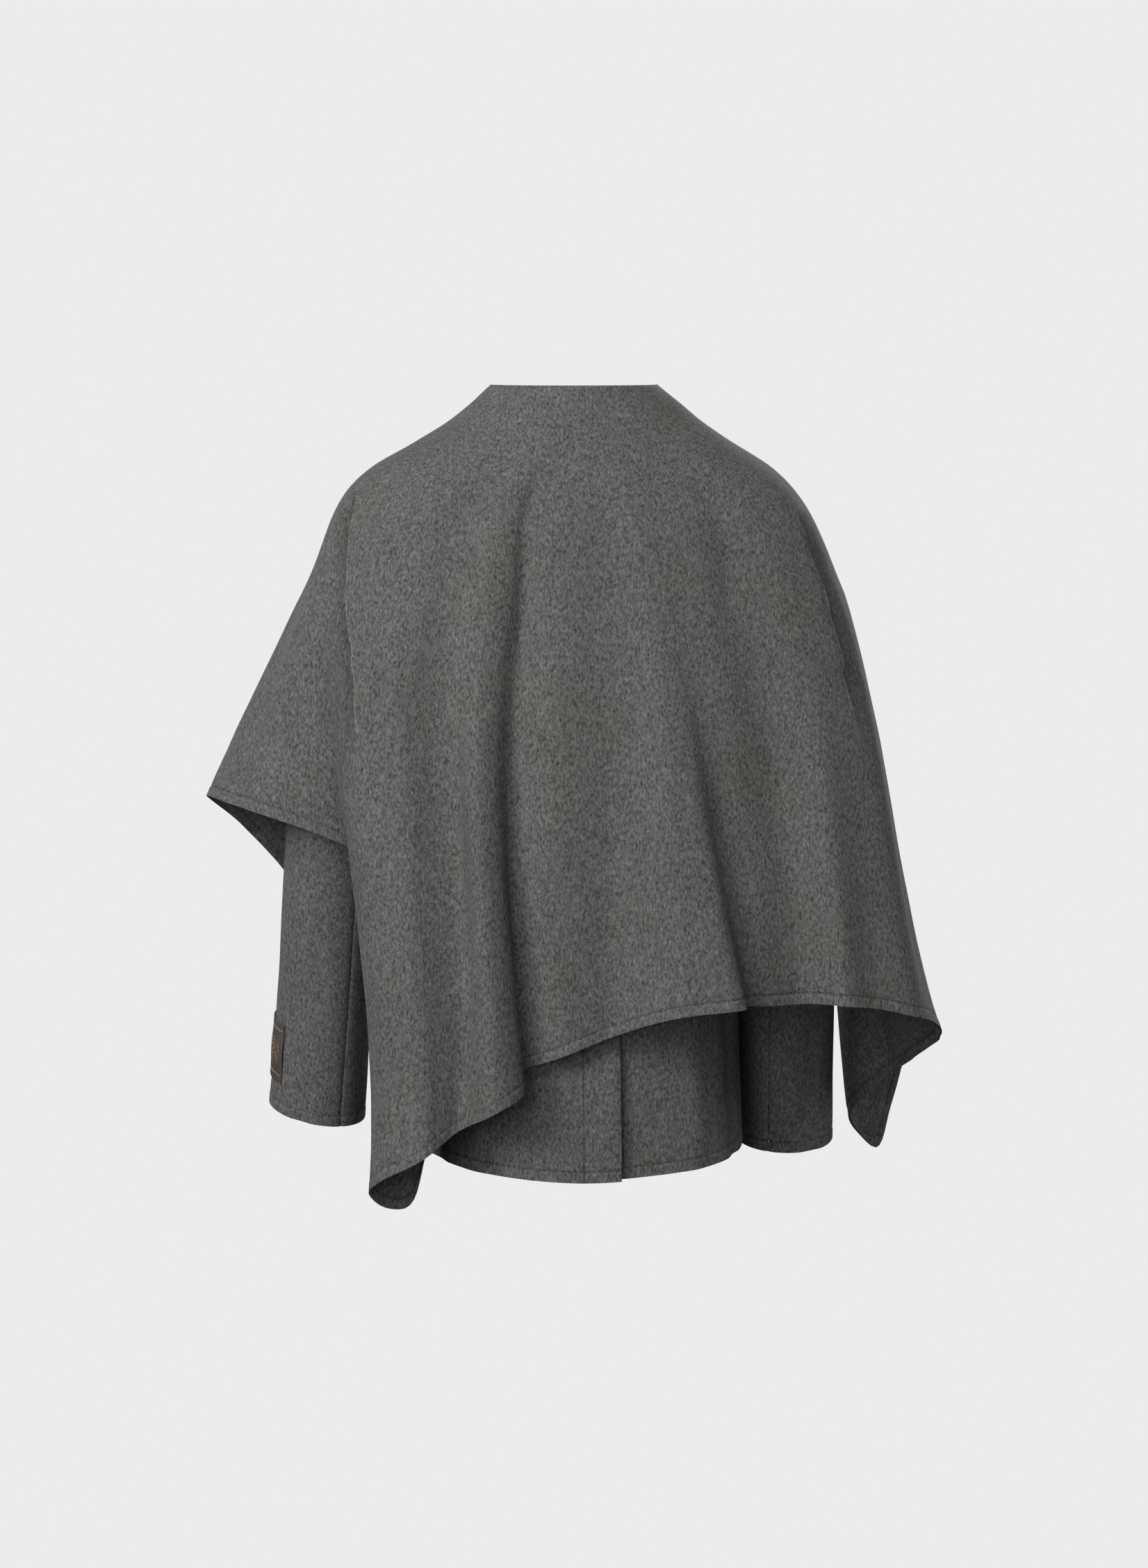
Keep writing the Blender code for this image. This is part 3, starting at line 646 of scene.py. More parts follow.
def cloth(name, node, points, outward, material, finished, relief, still=None, stitched=None, folds=None):
    """A piece of cloth on a grid of points, that stands for a solid.

    outward(point) points out of the coat. finished says what each of its edges is: a hem, which is
    turned and stitched, a seam, where it rolls in, or the neck, which lies still. relief adds to its
    face at each point. still(point) is 0 where the cloth has to lie flat, and stitched(point) is the
    distance across from a stitched line. folds has, for each point, the distance beyond the edge of
    a crisp fold and how crisp it is.
    """
    points, reversed_rows = facing_out(points, outward)
    if reversed_rows:
        swap = {"start": "end", "end": "start"}
        finished = {swap.get(side, side): kind for side, kind in finished.items()}
        relief = relief[:, ::-1]
        folds = folds[:, ::-1] if folds is not None else None
    rows = len(points)
    columns = len(points[0])
    grid = bmesh.new()
    bmesh.ops.create_grid(grid, x_segments=columns - 1, y_segments=rows - 1, size=0.5)
    grid.verts.ensure_lookup_table()
    layers = [grid.verts.layers.float.new(kind) for kind in ("edge", "line", "firm", "fold", "crisp")]
    wall_layer = grid.verts.layers.deform.verify()
    down = [distances(line) for line in turned(points)]
    along = [distances(line) for line in points]
    place = {}
    for corner in grid.verts:
        column = round((corner.co.x + 0.5) * (columns - 1))
        row = round((corner.co.y + 0.5) * (rows - 1))
        corner.co = points[row][column]
        place[corner] = (row, column)
    grid.normal_update()
    moves = {}
    for corner, (row, column) in place.items():
        ways = {
            "top": down[column][row],
            "bottom": down[column][-1] - down[column][row],
            "start": along[row][column],
            "end": along[row][-1] - along[row][column],
        }
        nearest = {"hem": FAR, "seam": FAR, "neck": FAR}
        for side, distance in ways.items():
            nearest[finished[side]] = min(nearest[finished[side]], distance)
        edge = nearest["hem"]
        here = points[row][column]
        firmness = stitch_firmness(here)
        rise = edge_relief(edge, firmness) if edge < 2 * HEM_STITCH else 0.0
        rise -= SEAM_ROLL * (1 - ramp(nearest["seam"], 0, SEAM_ROLL_WIDTH))
        calm = ramp(min(nearest["seam"], nearest["neck"]), 0, QUIET_WIDTH)
        if still:
            calm *= still(here)
        lie = (waviness(here) + relief[row, column]) * calm
        thin = 2 * firmness * HEM_GROOVE * bump(edge - HEM_STITCH, HEM_GROOVE_WIDTH)
        line = stitched(here) if stitched else FAR
        fold = folds[row, column] if folds is not None else (FAR, 0.0)
        for layer, value in zip(layers, (edge, line, firmness, *fold)):
            corner[layer] = value
        corner[wall_layer][0] = 1 - thin / WALL
        moves[corner] = corner.normal * (rise + lie)
    for corner, move in moves.items():
        corner.co += move
    item = new_item(name, grid, material)
    item.vertex_groups.new(name="wall")
    add_wall(item, WALL, RIM_ROUND).vertex_group = "wall"
    place_item(item, node)
    return item


# Jacket body

def neck_point(around):
    turn = math.radians(around)
    sideways = math.sin(turn)
    is_back = math.cos(turn) > 0
    depth = NECK_BACK if is_back else NECK_FRONT
    drop = 0.0 if is_back else NECK_DROP * (1 - abs(sideways) ** SECTION_SINK)
    return Vector((NECK_HALF_WIDTH * sideways, depth * math.cos(turn), NECK_TOP - drop))


def armhole_point(around):
    turn = math.radians(around)
    centre = (SHOULDER_TIP + ARMPIT) / 2
    reach = (SHOULDER_TIP - ARMPIT) / 2
    return centre + reach * math.cos(turn) + Vector((0, ARMHOLE_HALF_DEPTH * math.sin(turn), 0))


def side_edges():
    edges = []
    for kind, along, edge_z, *_ in BODY_SECTIONS:
        if kind == "shoulder":
            sag = Vector((0, 0, SHOULDER_SAG * math.sin(math.pi * along)))
            edges.append(neck_point(90).lerp(SHOULDER_TIP, along) - sag)
        elif kind == "armhole":
            edges.append(armhole_point(along))
        else:
            edges.append(Vector((along, 0, edge_z)) * MM)
    return edges


def side_edge(edges, knots, place):
    """A point of the edge that a front shares with a back: shoulder seam, armhole and side seam."""
    i, t = place
    if t > 0 and BODY_SECTIONS[i + 1][0] == "armhole":
        before = BODY_SECTIONS[i][1] if BODY_SECTIONS[i][0] == "armhole" else 0
        return armhole_point(before + (BODY_SECTIONS[i + 1][1] - before) * t)
    if t == 0:
        return edges[i]
    edge = on_curve(knots, edges, place)
    return Vector((edge.x, 0, edge.z))


def turn_at(x, half_width, fullness):
    """The turn at which a section of the body is that far out."""
    return math.asin(signed_power(x / half_width, 1 / fullness))


def body_grid(side, is_back, inner_edge, sink):
    """Levels of one quarter of the body, each from inner_edge(z) to the side. sink(x, z) lays it deeper."""
    edges = side_edges()
    knots = distances(edges)
    centres = []
    for *_, back_z, back_depth, front_z, front_depth, fullness in BODY_SECTIONS:
        z, depth = (back_z, back_depth) if is_back else (front_z, front_depth)
        centres.append(Vector((z * MM, depth * MM, fullness)))
    towards = 1 if is_back else -1
    rows = []
    for place in spaced(knots, BODY_LEVEL):
        edge = side_edge(edges, knots, place)
        centre_z, depth, fullness = on_curve(knots, centres, place)
        first = turn_at(inner_edge(centre_z), edge.x, fullness)
        row = []
        for k in range(BODY_COLUMNS + 1):
            turn = first + (math.pi / 2 - first) * k / BODY_COLUMNS
            x = edge.x * signed_power(math.sin(turn), fullness)
            inward = depth - sink(x, centre_z)
            y = edge.y + (inward - edge.y) * max(0.0, math.cos(turn)) ** fullness
            z = centre_z + (edge.z - centre_z) * abs(x / edge.x) ** SECTION_SINK
            shift = HEM_SHIFT * ramp(z, ARMPIT.z, HEM_Z)
            row.append(Vector((side * x + shift, towards * (y + SEAM_GAP / 2), z)))
        rows.append(row)
    return rows


def vent_reach(z):
    return ramp(z, VENT_TOP, VENT_TOP - VENT_SLANT)


def build_body(wool):
    half_gap = SEAM_GAP / 2

    def vent_edge(width):
        return lambda z: half_gap - (width + half_gap) * vent_reach(z)

    def underlay_sink(x, z):
        start = ramp(z, VENT_TOP + UNDERLAY_RISE[0], VENT_TOP + UNDERLAY_RISE[1])
        down = ramp(z, VENT_TOP, HEM_Z)
        depth = UNDERLAY_DEPTH_TOP + (UNDERLAY_DEPTH_HEM - UNDERLAY_DEPTH_TOP) * down
        return depth * start * (1 - ramp(x, VENT_FLAP + UNDERLAY_FADE[0], VENT_FLAP + UNDERLAY_FADE[1]))

    def front_edge(z):
        return -FRONT_OVERLAP

    def front_sink(x, z):
        return FRONT_STEP * (1 - ramp(x, FRONT_OVERLAP + FRONT_FADE[0], FRONT_OVERLAP + FRONT_FADE[1]))

    def level(x, z):
        return 0.0

    def off_buttons(point):
        return ramp(abs(point.x), BUTTON_STILL, 2 * BUTTON_STILL)

    def off_centre_line(point):
        """Distance across from the line of stitches that carries the centre back seam down the vent."""
        if point.z > VENT_TOP:
            return FAR
        return point.x - HEM_SHIFT * ramp(point.z, ARMPIT.z, HEM_Z)

    panels = (
        ("back_left", 1, True, vent_edge(VENT_FLAP), level, (0.22, 0.76)),
        ("back_right", -1, True, vent_edge(VENT_UNDERLAY), underlay_sink, (0.22, 0.76)),
        ("front_left", 1, False, front_edge, front_sink, (0.23, 0.74)),
        ("front_right", -1, False, front_edge, level, (0.23, 0.74)),
    )
    for name, side, is_back, inner_edge, sink, flat_size in panels:
        points = evened(body_grid(side, is_back, inner_edge, sink), BODY_ROWS)
        if not is_back:
            points = [resampled(line, BODY_COLUMNS, True, False) for line in points]
        relief = crease_relief(points, even(0, 1, len(points[0])), CREASES[name])
        finished = {"top": "neck", "bottom": "hem", "start": "seam" if is_back else "hem", "end": "seam"}
        piece = cloth(f"{name}_cloth", name, points, from_middle, wool, finished, relief,
                      None if is_back else off_buttons, off_centre_line if name == "back_left" else None)


# Sleeves

def sleeve_ring(rings, knots, place):
    under_x, under_z, outer_x, outer_z, half_depth, centre_y, back_drop = (
        on_curve(knots, [row[k] * MM for row in rings], place) for k in range(7)
    )
    centre = Vector(((under_x + outer_x) / 2, centre_y, (under_z + outer_z) / 2))
    outer = Vector(((outer_x - under_x) / 2, 0, (outer_z - under_z) / 2))
    back = Vector((0, half_depth, -back_drop))
    return centre, outer, back


def sleeve_knots(rings):
    middles = [Vector((row[0] + row[2], 0, row[1] + row[3])) * MM / 2 for row in rings]
    return distances(middles)


def sleeve_point(side, rings, knots, place, around):
    centre, outer, back = sleeve_ring(rings, knots, place)
    turn = math.radians(around)
    point = centre + outer * math.cos(turn) + back * math.sin(turn)
    point.x += ARMHOLE_GAP
    return Vector((side * point.x, point.y, point.z))


def sleeve_grid(side, rings, knots, start, end):
    steps = math.ceil((end(0.5) - start(0.5)) / SLEEVE_COLUMN)
    rows = []
    for place in spaced(knots, SLEEVE_LEVEL):
        down = (place[0] + place[1]) / (len(knots) - 1)
        arounds = even(start(down), end(down), steps + 1)
        rows.append([sleeve_point(side, rings, knots, place, around) for around in arounds])
    return evened(rows, SLEEVE_ROWS)


def off_patch(point):
    above = ramp(point.z, PATCH_TOP, PATCH_TOP + PATCH_STILL)
    below = ramp(-point.z, -PATCH_BOTTOM, -PATCH_BOTTOM + PATCH_STILL)
    return max(above, below)


def build_sleeves(wool):
    finished = {"start": "seam", "end": "seam", "bottom": "hem", "top": "seam"}
    for name, side in (("left", 1), ("right", -1)):
        rings = SLEEVE_HEAD + SLEEVE_ARM[name]
        knots = sleeve_knots(rings)
        at_armhole, at_cuff = BACK_SEAM[name]
        gap = math.degrees(SEAM_GAP / 2 / (rings[-1][4] * MM))
        middle = sleeve_ring(rings, knots, (len(knots) // 2, 0))[0]

        def back_seam(share):
            return at_armhole + (at_cuff - at_armhole) * share

        def from_arm(point):
            return Vector((point.x - side * middle.x, point.y - middle.y, 0))

        upper = sleeve_grid(side, rings, knots,
                            lambda share: FRONT_SEAM - 360 + gap,
                            lambda share: back_seam(share) - gap)
        under = sleeve_grid(side, rings, knots,
                            lambda share: back_seam(share) + gap,
                            lambda share: FRONT_SEAM - gap)
        pieces = (
            # piece, its points, where it starts and ends round the arm, flat size and area
            ("upper", upper, FRONT_SEAM - 360, at_armhole, (0.26, 0.66), 0.13),
            ("under", under, at_armhole, FRONT_SEAM, (0.13, 0.5), 0.05),
        )
        for piece, points, low, high, flat_size, flat_area in pieces:
            node = f"sleeve_{name}_{piece}"
            relief = crease_relief(points, even(low, high, len(points[0])), CREASES.get(node, ()))
            item = cloth(f"{node}_cloth", node, points, from_arm, wool, finished, relief,
                         off_patch if node == "sleeve_left_upper" else None)


# Cape

def ring_point(ring, around, out):
    _, left, right, back, front, side_z, back_z, front_z = ring
    turn = math.radians(around)
    half_width = left if around > 0 else right
    depth, end_z = (back, back_z) if math.cos(turn) > 0 else (front, front_z)
    x = (half_width + out) * signed_power(math.sin(turn), CAPE_FULLNESS)
    y = (depth + out) * signed_power(math.cos(turn), CAPE_FULLNESS)
    z = side_z + (end_z - side_z) * math.cos(turn) ** 2
    return Vector((x, y, z)) * MM


def cape_neck_point(around):
    turn = math.radians(around)
    point = neck_point(around)
    away = Vector((math.sin(turn), math.cos(turn), 0))
    point += away * (CAPE_NECK_OUT + CAPE_NECK_SIDE * math.sin(turn) ** 2)
    point.z += CAPE_NECK_RISE
    return point


def fold_line(fold):
    """The line of a fold from the neckline down to the hem."""
    _, around, out, bow, hem_x, hem_y, hem_z = fold
    stops = [
        cape_neck_point(around),
        ring_point(CAPE_RINGS[0], around, 0),
        ring_point(CAPE_RINGS[1], around, out * CAPE_SHOULDER_OUT),
        ring_point(CAPE_RINGS[2], around, out),
        Vector((hem_x, hem_y, hem_z)) * MM,
    ]
    knots = distances(stops)
    line = []
    for part, count in enumerate(CAPE_LEVELS):
        for k in range(count):
            share = k / count
            point = on_curve(knots, stops, (part, share)).copy()
            if part == len(CAPE_LEVELS) - 1:
                point.x += bow * MM * math.sin(math.pi * share)
            line.append(point)
    return line + [stops[-1]]


def cape_grid():
    lines = [fold_line(fold) for fold in CAPE_FOLDS]
    places = spaced(distances([line[-1] for line in lines]), CAPE_COLUMN)
    levels = []
    for k in range(len(lines[0])):
        level = [line[k] for line in lines]
        knots = distances(level)
        levels.append([on_curve(knots, level, place) for place in places])
    points = evened(levels, CAPE_ROWS)
    arounds = [fold[1] for fold in CAPE_FOLDS]
    across = [at_share(arounds, i + share) for i, share in places]
    return points, across


def build_cape(wool):
    points, across = cape_grid()
    crisp_relief, folds = fold_edge_relief(points, FOLD_EDGES)
    relief = crease_relief(points, across, CREASES["cape"]) + crisp_relief
    finished = {"bottom": "hem", "start": "hem", "end": "hem", "top": "neck"}
    piece = cloth("cape_cloth", "cape", points, from_middle, wool, finished, relief, folds=folds)


# Thread

def finish_piece(name, shape, material, node=None):
    bmesh.ops.recalc_face_normals(shape, faces=shape.faces)
    place_item(new_item(name, shape, material), node)


def add_thread(shape, line, outs, radius, closed=False):
    """A round thread along a line of points. outs are the ways out of the cloth at them."""
    rings = []
    count = len(line)
    for k, (point, out) in enumerate(zip(line, outs)):
        before = line[k - 1] if k or closed else point
        after = line[(k + 1) % count] if closed or k < count - 1 else point
        along = (after - before).normalized()
        across = along.cross(out).normalized()
        up = across.cross(along)
        taper = 1.0 if closed or 0 < k < count - 1 else THREAD_END
        ring = bmesh.ops.create_circle(shape, segments=THREAD_SIDES, radius=radius * taper)["verts"]
        frame_here = Matrix((across, up, along)).transposed().to_4x4()
        bmesh.ops.transform(shape, matrix=Matrix.Translation(point) @ frame_here, verts=ring)
        rings.append(ring)
    pairs = list(zip(rings, rings[1:])) + ([(rings[-1], rings[0])] if closed else [])
    for low, high in pairs:
        edges = list({edge for corner in low + high for edge in corner.link_edges if len(edge.link_faces) < 2
                      and (all(v in low for v in edge.verts) or all(v in high for v in edge.verts))})
        bmesh.ops.bridge_loops(shape, edges=edges)
    if not closed:
        bmesh.ops.contextual_create(shape, geom=rings[0])
        bmesh.ops.contextual_create(shape, geom=rings[-1])


def add_stitches(shape, row):
    """A row of stitches along points with their ways out. Each rises from the leather and goes down."""
    line, outs = zip(*row)
    knots = distances(line)
    start = 0.0
    while start + STITCH < knots[-1]:
        points, ways = [], []
        for share, height in STITCH_RISE:
            place = start + STITCH * share
            i = max(k for k in range(len(knots) - 1) if knots[k] <= place)
            t = (place - knots[i]) / (knots[i + 1] - knots[i])
            out = outs[i].lerp(outs[i + 1], t).normalized()
            points.append(line[i].lerp(line[i + 1], t) + out * THREAD * height)
            ways.append(out)
        add_thread(shape, points, ways, THREAD)
        start += STITCH_PITCH


# Patch

def patch_point(rings, knots, share_down, share_across):
    """A point of the patch's face and the way out of it. Both shares go from 0 to 1."""
    z = PATCH_TOP + (PATCH_BOTTOM - PATCH_TOP) * share_down
    above, below = rings[-2][3] * MM, rings[-1][3] * MM
    place = (len(rings) - 2, (above - z) / (above - below))
    around = PATCH_FROM + (PATCH_TO - PATCH_FROM) * share_across
    point = sleeve_point(1, rings, knots, place, around)
    centre = sleeve_ring(rings, knots, place)[0]
    out = Vector((point.x - centre.x, point.y - centre.y, 0)).normalized()
    length = PATCH_TOP - PATCH_BOTTOM
    from_end = min(share_down, 1 - share_down) * length
    held = ramp(from_end, PATCH_SEAM, length / 2)
    side = abs(2 * share_across - 1)
    lift = PATCH_LIFT * held * (PATCH_MIDDLE_LIFT + (1 - PATCH_MIDDLE_LIFT) * side ** 3)
    pinch = PATCH_PINCH * bump(from_end - PATCH_SEAM, PATCH_PINCH_WIDTH)
    return point + out * (PATCH_GAP + PATCH_WALL + lift - pinch), out


def build_patch(leather, pale_thread, gold_thread):
    rings = SLEEVE_HEAD + SLEEVE_ARM["left"]
    knots = sleeve_knots(rings)
    sheet = bmesh.new()
    bmesh.ops.create_grid(sheet, x_segments=PATCH_COLUMNS, y_segments=PATCH_ROWS, size=0.5)
    for corner in sheet.verts:
        corner.co = patch_point(rings, knots, corner.co.y + 0.5, corner.co.x + 0.5)[0]
    sheet.normal_update()
    middle, out = patch_point(rings, knots, 0.5, 0.5)
    middle_face = min(sheet.faces, key=lambda face: (face.calc_center_median() - middle).length)
    if middle_face.normal.dot(out) < 0:
        bmesh.ops.reverse_faces(sheet, faces=sheet.faces)
    item = new_item("patch_leather", sheet, leather)
    add_wall(item, PATCH_WALL, PATCH_RIM_ROUND)
    place_item(item, "sleeve_patch")

    seams = bmesh.new()
    length = PATCH_TOP - PATCH_BOTTOM
    for down in (PATCH_SEAM / length, 1 - PATCH_SEAM / length):
        places = even(PATCH_SEAM_MARGIN, 1 - PATCH_SEAM_MARGIN, PATCH_SEAM_POINTS + 1)
        add_stitches(seams, [patch_point(rings, knots, down, place) for place in places])
    finish_piece("patch_seam_thread", seams, pale_thread)

    pattern = bmesh.new()
    half_height = LOZENGE_HALF_HEIGHT / length
    half_width = (0.5 - LOZENGE_MARGIN) / LOZENGES
    for k in range(LOZENGES):
        middle = LOZENGE_MARGIN + half_width * (2 * k + 1)
        for size in LOZENGE_SIZES:
            for (a, b), (c, d) in zip(LOZENGE_CORNERS, LOZENGE_CORNERS[1:]):
                row = []
                for share in even(LOZENGE_CORNER_GAP, 1 - LOZENGE_CORNER_GAP, LOZENGE_POINTS + 1):
                    place = middle + half_width * LOZENGE_WIDTH * size * (a + (c - a) * share)
                    down = 0.5 + half_height * size * (b + (d - b) * share)
                    row.append(patch_point(rings, knots, down, place))
                add_stitches(pattern, row)
    finish_piece("patch_lozenge_thread", pattern, gold_thread)


# Buttons

def button_seats():
    """Where each button sits on the right front, and the matrix that lays a shape down there."""
    line = [row[0] for row in body_grid(-1, False, lambda z: 0.0, lambda x, z: 0.0)]
    seats = []
    for k in range(BUTTON_COUNT):
        z = BUTTON_FIRST + k * BUTTON_STEP
        above = max(i for i, point in enumerate(line) if point.z > z)
        upper, lower = line[above], line[above + 1]
        seat = upper.lerp(lower, (upper.z - z) / (upper.z - lower.z))
        down = (lower - upper).normalized()
        out = Vector((1, 0, 0)).cross(down).normalized()
        if out.y > 0:
            out = -out
        across = down.cross(out).normalized()
        seats.append(Matrix.Translation(seat) @ Matrix((across, -down, out)).transposed().to_4x4())
    return seats


def add_button(shape, place):
    """A button with a raised rim and four holes through the floor of its hollow."""
    outline = [shape.verts.new((radius * MM, 0, height * MM)) for radius, height in BUTTON_PROFILE]
    for pair in zip(outline, outline[1:]):
        shape.edges.new(pair)
    bmesh.ops.spin(shape, geom=outline + [edge for edge in shape.edges], cent=(0, 0, 0), axis=(0, 0, 1),
                   angle=2 * math.pi, steps=BUTTON_SIDES, use_merge=True)
    for height in (BUTTON_WEB, 0.0):
        circles = [(0, 0, BUTTON_SIDES, BUTTON_DISH)]
        circles += [(x, y, BUTTON_HOLE_SIDES, BUTTON_HOLE) for x, y in BUTTON_HOLES]
        loops = []
        for x, y, sides, radius in circles:
            loops += bmesh.ops.create_circle(shape, segments=sides, radius=radius,
                                             matrix=Matrix.Translation((x, y, height)))["verts"]
        edges = list({edge for corner in loops for edge in corner.link_edges})
        bmesh.ops.triangle_fill(shape, edges=edges, use_beauty=True, normal=(0, 0, 1))
    for hole in BUTTON_HOLES:
        rim = [corner for corner in shape.verts
               if abs((corner.co.xy - Vector(hole)).length - BUTTON_HOLE) < BUTTON_HOLE / 20]
        edges = list({edge for corner in rim for edge in corner.link_edges
                      if all(end in rim for end in edge.verts)
                      and abs(edge.verts[0].co.z - edge.verts[1].co.z) < BUTTON_WEB / 2})
        bmesh.ops.bridge_loops(shape, edges=edges)
    bmesh.ops.remove_doubles(shape, verts=shape.verts, dist=BUTTON_MERGE)
    bmesh.ops.transform(shape, matrix=place @ Matrix.Translation((0, 0, BUTTON_GAP)), verts=shape.verts)


def button_hole():
    """The middle of the cord round a button hole. The button's middle is at 0, and the hole runs along x."""
    edge = []
    for end, way in ((HOLE_NEAR, 1), (HOLE_NEAR - HOLE_LENGTH, -1)):
        for turn in even(0, math.pi, HOLE_STEPS + 1):
            edge.append(Vector((end + way * HOLE_SLIT * math.sin(turn), way * HOLE_SLIT * math.cos(turn), 0)))
    half = HOLE_STEPS + 1
    shares = even(0, 1, HOLE_STEPS + 1)[1:-1]
    far_side = [edge[half - 1].lerp(edge[half], share) for share in shares]
    near_side = [edge[-1].lerp(edge[0], share) for share in shares]
    edge = edge[:half] + far_side + edge[half:] + near_side
    for point in edge:
        point.z = HOLE_CORD * HOLE_CORD_RISE - HOLE_SINK * (point.x / HOLE_LENGTH) ** 2
    return edge


def build_buttons(horn, thread, hole_thread):
    threads = bmesh.new()
    holes = bmesh.new()
    top = BUTTON_GAP + BUTTON_WEB
    over = [(share * BUTTON_HOLE_OUT, top + rise * MM) for share, rise in BUTTON_THREAD_LINE]
    path = [(over[0][0], 0.0), *over, (over[-1][0], 0.0)]
    for k, place in enumerate(button_seats()):
        button = bmesh.new()
        add_button(button, place)
        finish_piece(f"button_{k + 1}_horn", button, horn, f"button_{k + 1}")
        side = place.to_3x3() @ Vector((1, 0, 0))
        out = place.to_3x3() @ Vector((0, 0, 1))
        for x in (-BUTTON_HOLE_OUT, BUTTON_HOLE_OUT):
            for shift in (-BUTTON_THREAD, BUTTON_THREAD):
                line = [place @ Vector((x + shift, y, z)) for y, z in path]
                add_thread(threads, line, [side] * len(line), BUTTON_THREAD)
        loop = [place @ point for point in button_hole()]
        add_thread(holes, loop, [out] * len(loop), HOLE_CORD, closed=True)
    finish_piece("button_threads", threads, thread)
    finish_piece("button_hole_thread", holes, hole_thread)


# Materials

def new_material(name):
    material = bpy.data.materials.new(name)
    material.use_nodes = True
    tree = material.node_tree
    return material, tree, tree.nodes["Principled BSDF"]


def fill(tree, node, inputs):
    """Sets or links sockets of a node, by name or number."""
    for key, value in inputs.items():
        if isinstance(value, bpy.types.NodeSocket):
            tree.links.new(value, node.inputs[key])
        else:
            node.inputs[key].default_value = value
    return node


def add(tree, kind, inputs, **settings):
    node = tree.nodes.new(f"ShaderNode{kind}")
    for key, value in settings.items():
        setattr(node, key, value)
    return fill(tree, node, inputs)


def object_place(tree):
    return add(tree, "TexCoord", {}).outputs["Object"]


def attribute(tree, name):
    return add(tree, "Attribute", {}, attribute_name=name).outputs["Fac"]


def noise_node(tree, source, scale, stretch, detail, roughness):
    """A noise on the given coordinates, in metres. scale is in cells for each metre."""
    mapping = add(tree, "Mapping", {"Vector": source, "Scale": stretch})
    return add(tree, "TexNoise", {"Vector": mapping.outputs["Vector"], "Scale": scale, "Detail": detail,
                                  "Roughness": roughness}).outputs["Fac"]


def maths(tree, kind, *values):
    return add(tree, "Math", dict(enumerate(values)), operation=kind).outputs[0]


def spread(tree, value, low, high, to_low, to_high):
    """The value carried over from one range to another."""
    return add(tree, "MapRange", {"Value": value, "From Min": low, "From Max": high, "To Min": to_low,
                                  "To Max": to_high}).outputs["Result"]


def mixed(tree, share, a, b, **settings):
    """Two colours mixed."""
    return add(tree, "Mix", {"Factor": share, "A": a, "B": b}, data_type="RGBA", **settings).outputs["Result"]


def add_relief(tree, shader, height, strength, distance):
    node = add(tree, "Bump", {"Strength": strength, "Distance": distance, "Height": height})
    fill(tree, shader, {"Normal": node.outputs["Normal"]})


def heathered_wool():
    material, tree, shader = new_material("heathered_wool")
    place = object_place(tree)
    fibres = noise_node(tree, place, *FIBRES)
    tufts = noise_node(tree, place, *TUFTS)
    clouds = noise_node(tree, place, *CLOUDS)
    casts = noise_node(tree, place, *CASTS)
    shade = maths(tree, "MULTIPLY", spread(tree, fibres, 0.3, 0.7, 0.25, 1.75),
                  spread(tree, tufts, 0.25, 0.75, 0.86, 1.14))
    shade = maths(tree, "MULTIPLY", shade, spread(tree, clouds, 0.3, 0.7, 0.95, 1.05))

    off_stitch = maths(tree, "ABSOLUTE", maths(tree, "SUBTRACT", attribute(tree, "edge"), HEM_STITCH))
    near_stitch = spread(tree, off_stitch, *STITCH_LINE, 1.0, 0.0)
    near_stitch = maths(tree, "MULTIPLY", near_stitch, attribute(tree, "firm"))
    off_line = maths(tree, "ABSOLUTE", attribute(tree, "line"))
    near_line = spread(tree, off_line, *VENT_LINE, VENT_LINE_DEPTH, 0.0)
    stitch = maths(tree, "MAXIMUM", near_stitch, near_line)
    shade = maths(tree, "MULTIPLY", shade, spread(tree, stitch, 0.0, 1.0, 1.0, STITCH_SHADE))

    # Painted highlight along the crest of each crisp fold of the cape
    fold = attribute(tree, "fold")
    crisp = attribute(tree, "crisp")
    off_highlight_line = maths(tree, "ABSOLUTE", maths(tree, "ADD", fold, PAINTED_HIGHLIGHT_PLACE))
    painted_highlight = maths(tree, "MULTIPLY", spread(tree, off_highlight_line, *PAINTED_HIGHLIGHT_LINE, PAINTED_HIGHLIGHT_STRENGTH, 0.0), crisp)
    # Painted shade on the cloth beyond each crisp fold's edge, fading outward
    painted_shade_side = maths(tree, "MULTIPLY", maths(tree, "GREATER_THAN", fold, 0.0), crisp)
    painted_shade = maths(tree, "MULTIPLY", spread(tree, fold, *PAINTED_SHADE_LINE, PAINTED_SHADE_STRENGTH, 0.0), painted_shade_side)
    shade = maths(tree, "MULTIPLY", shade, maths(tree, "SUBTRACT", maths(tree, "ADD", painted_highlight, 1.0), painted_shade))

    cast = mixed(tree, spread(tree, casts, 0.35, 0.65, 0.0, 1.0), WOOL_GREY, WOOL_GREEN_GREY)
    fill(tree, shader, {
        "Base Color": mixed(tree, 1.0, cast, shade, blend_type="MULTIPLY"),
        "Roughness": 0.95,
        "Specular IOR Level": 0.25,
        "Sheen Weight": 0.05,
        "Sheen Roughness": 0.45,
        "Sheen Tint": (0.8, 0.81, 0.78, 1),
    })
    nap = maths(tree, "SUBTRACT", maths(tree, "ADD", fibres, tufts), near_line)
    add_relief(tree, shader, nap, 0.5, NAP_HEIGHT)
    return material


def mottled(name, dark, light, roughness, scale, stretch=(1, 1, 1), height=0.0, polish=0.5):
    """A material whose colour goes unevenly from dark to light, with a fine relief."""
    material, tree, shader = new_material(name)
    patches = noise_node(tree, object_place(tree), scale, stretch, 4.0, 0.6)
    low, high = roughness
    fill(tree, shader, {
        "Base Color": mixed(tree, spread(tree, patches, 0.32, 0.68, 0.0, 1.0), (*dark, 1), (*light, 1)),
        "Roughness": spread(tree, patches, 0.3, 0.7, high, low),
        "Specular IOR Level": polish,
    })
    if height:
        add_relief(tree, shader, patches, 0.7, height)
    return material


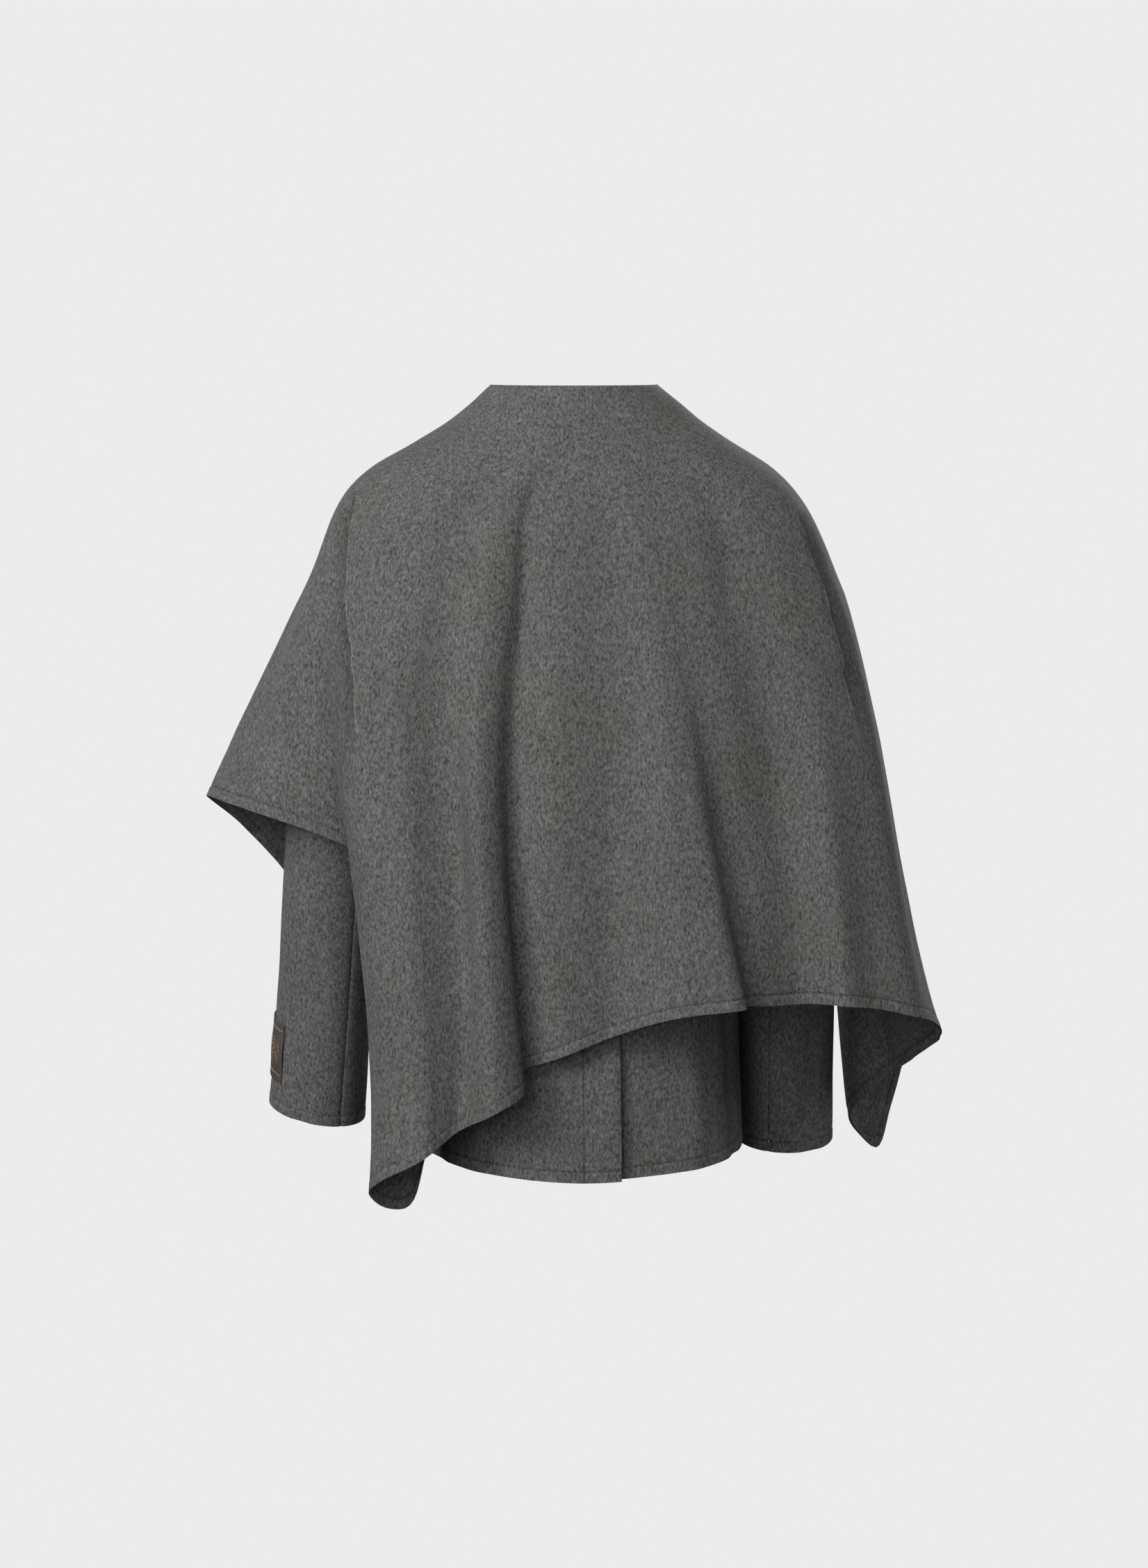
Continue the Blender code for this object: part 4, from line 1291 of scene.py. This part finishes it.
def patch_leather():
    """Dark brown leather with a fine pebbled grain and a paler worn cast."""
    material = mottled("dark_leather", (0.060, 0.050, 0.043), (0.105, 0.090, 0.078), (0.5, 0.68), 60,
                       polish=0.35)
    tree = material.node_tree
    pebbles = add(tree, "TexVoronoi", {"Vector": object_place(tree), "Scale": 900})
    add_relief(tree, tree.nodes["Principled BSDF"], pebbles.outputs["Distance"], 0.55, 0.25 * MM)
    return material


def twisted_thread(name, dark, light):
    """Thread whose strands show as fine turns across it."""
    return mottled(name, dark, light, (0.55, 0.8), 2600, (1, 1, 1.6), 0.1 * MM, 0.4)


def dark_horn():
    """Dark horn with long brown streaks, polished."""
    return mottled("dark_horn", (0.012, 0.010, 0.009), (0.055, 0.040, 0.030), (0.22, 0.38), 90, (1, 1, 0.35),
                   0.03 * MM)


# Studio

def aim_item(item, place, aim):
    """Puts a lamp or the camera in its place, turned to what it aims at."""
    item.location = place
    item.rotation_euler = (aim - place).to_track_quat("-Z", "Y").to_euler()
    bpy.context.scene.collection.objects.link(item)
    return item


def build_studio():
    pale, tree, shader = new_material("pale_backdrop")
    fill(tree, shader, {
        "Base Color": (0, 0, 0, 1),
        "Roughness": 1.0,
        "Specular IOR Level": 0.0,
        "Emission Color": BACKDROP_GREY,
        "Emission Strength": 1.0,
    })
    floor = bmesh.new()
    bmesh.ops.create_circle(floor, cap_ends=True, segments=64, radius=STUDIO_RADIUS,
                            matrix=Matrix.Translation((0, 0, FLOOR_Z)))
    wall = bmesh.new()
    bmesh.ops.create_icosphere(wall, subdivisions=4, radius=STUDIO_RADIUS)
    for name, shape in (("floor", floor), ("studio_wall", wall)):
        item = new_item(name, shape, pale)
        item.visible_diffuse = False
        item.visible_glossy = False
        item.visible_shadow = False

    world = bpy.data.worlds.new("studio")
    bpy.context.scene.world = world
    world.use_nodes = True
    backdrop = world.node_tree.nodes["Background"]
    fill(world.node_tree, backdrop, {"Color": BACKDROP_GREY, "Strength": AMBIENT})

    for name, place, size, power in LAMPS:
        lamp = bpy.data.lights.new(name, "AREA")
        lamp.shape = "SQUARE"
        lamp.size = size
        lamp.energy = power
        aim_item(bpy.data.objects.new(name, lamp), Vector(place), LAMP_AIM)

    camera = bpy.data.cameras.new("camera")
    camera.lens = CAMERA_LENS
    camera.sensor_width = 36
    bpy.context.scene.camera = aim_item(bpy.data.objects.new("camera", camera), CAMERA_PLACE, CAMERA_AIM)
    bpy.context.scene.view_settings.view_transform = "Standard"


def main():
    wool = heathered_wool()
    build_studio()
    build_cape(wool)
    build_body(wool)
    build_sleeves(wool)
    build_patch(patch_leather(), twisted_thread("pale_thread", (0.36, 0.33, 0.27), (0.58, 0.54, 0.46)),
                twisted_thread("dull_gold_thread", (0.20, 0.155, 0.075), (0.36, 0.29, 0.15)))
    build_buttons(dark_horn(), twisted_thread("button_thread", (0.03, 0.03, 0.03), (0.07, 0.07, 0.07)),
                  twisted_thread("button_hole_silk", (0.05, 0.05, 0.05), (0.11, 0.11, 0.108)))


main()
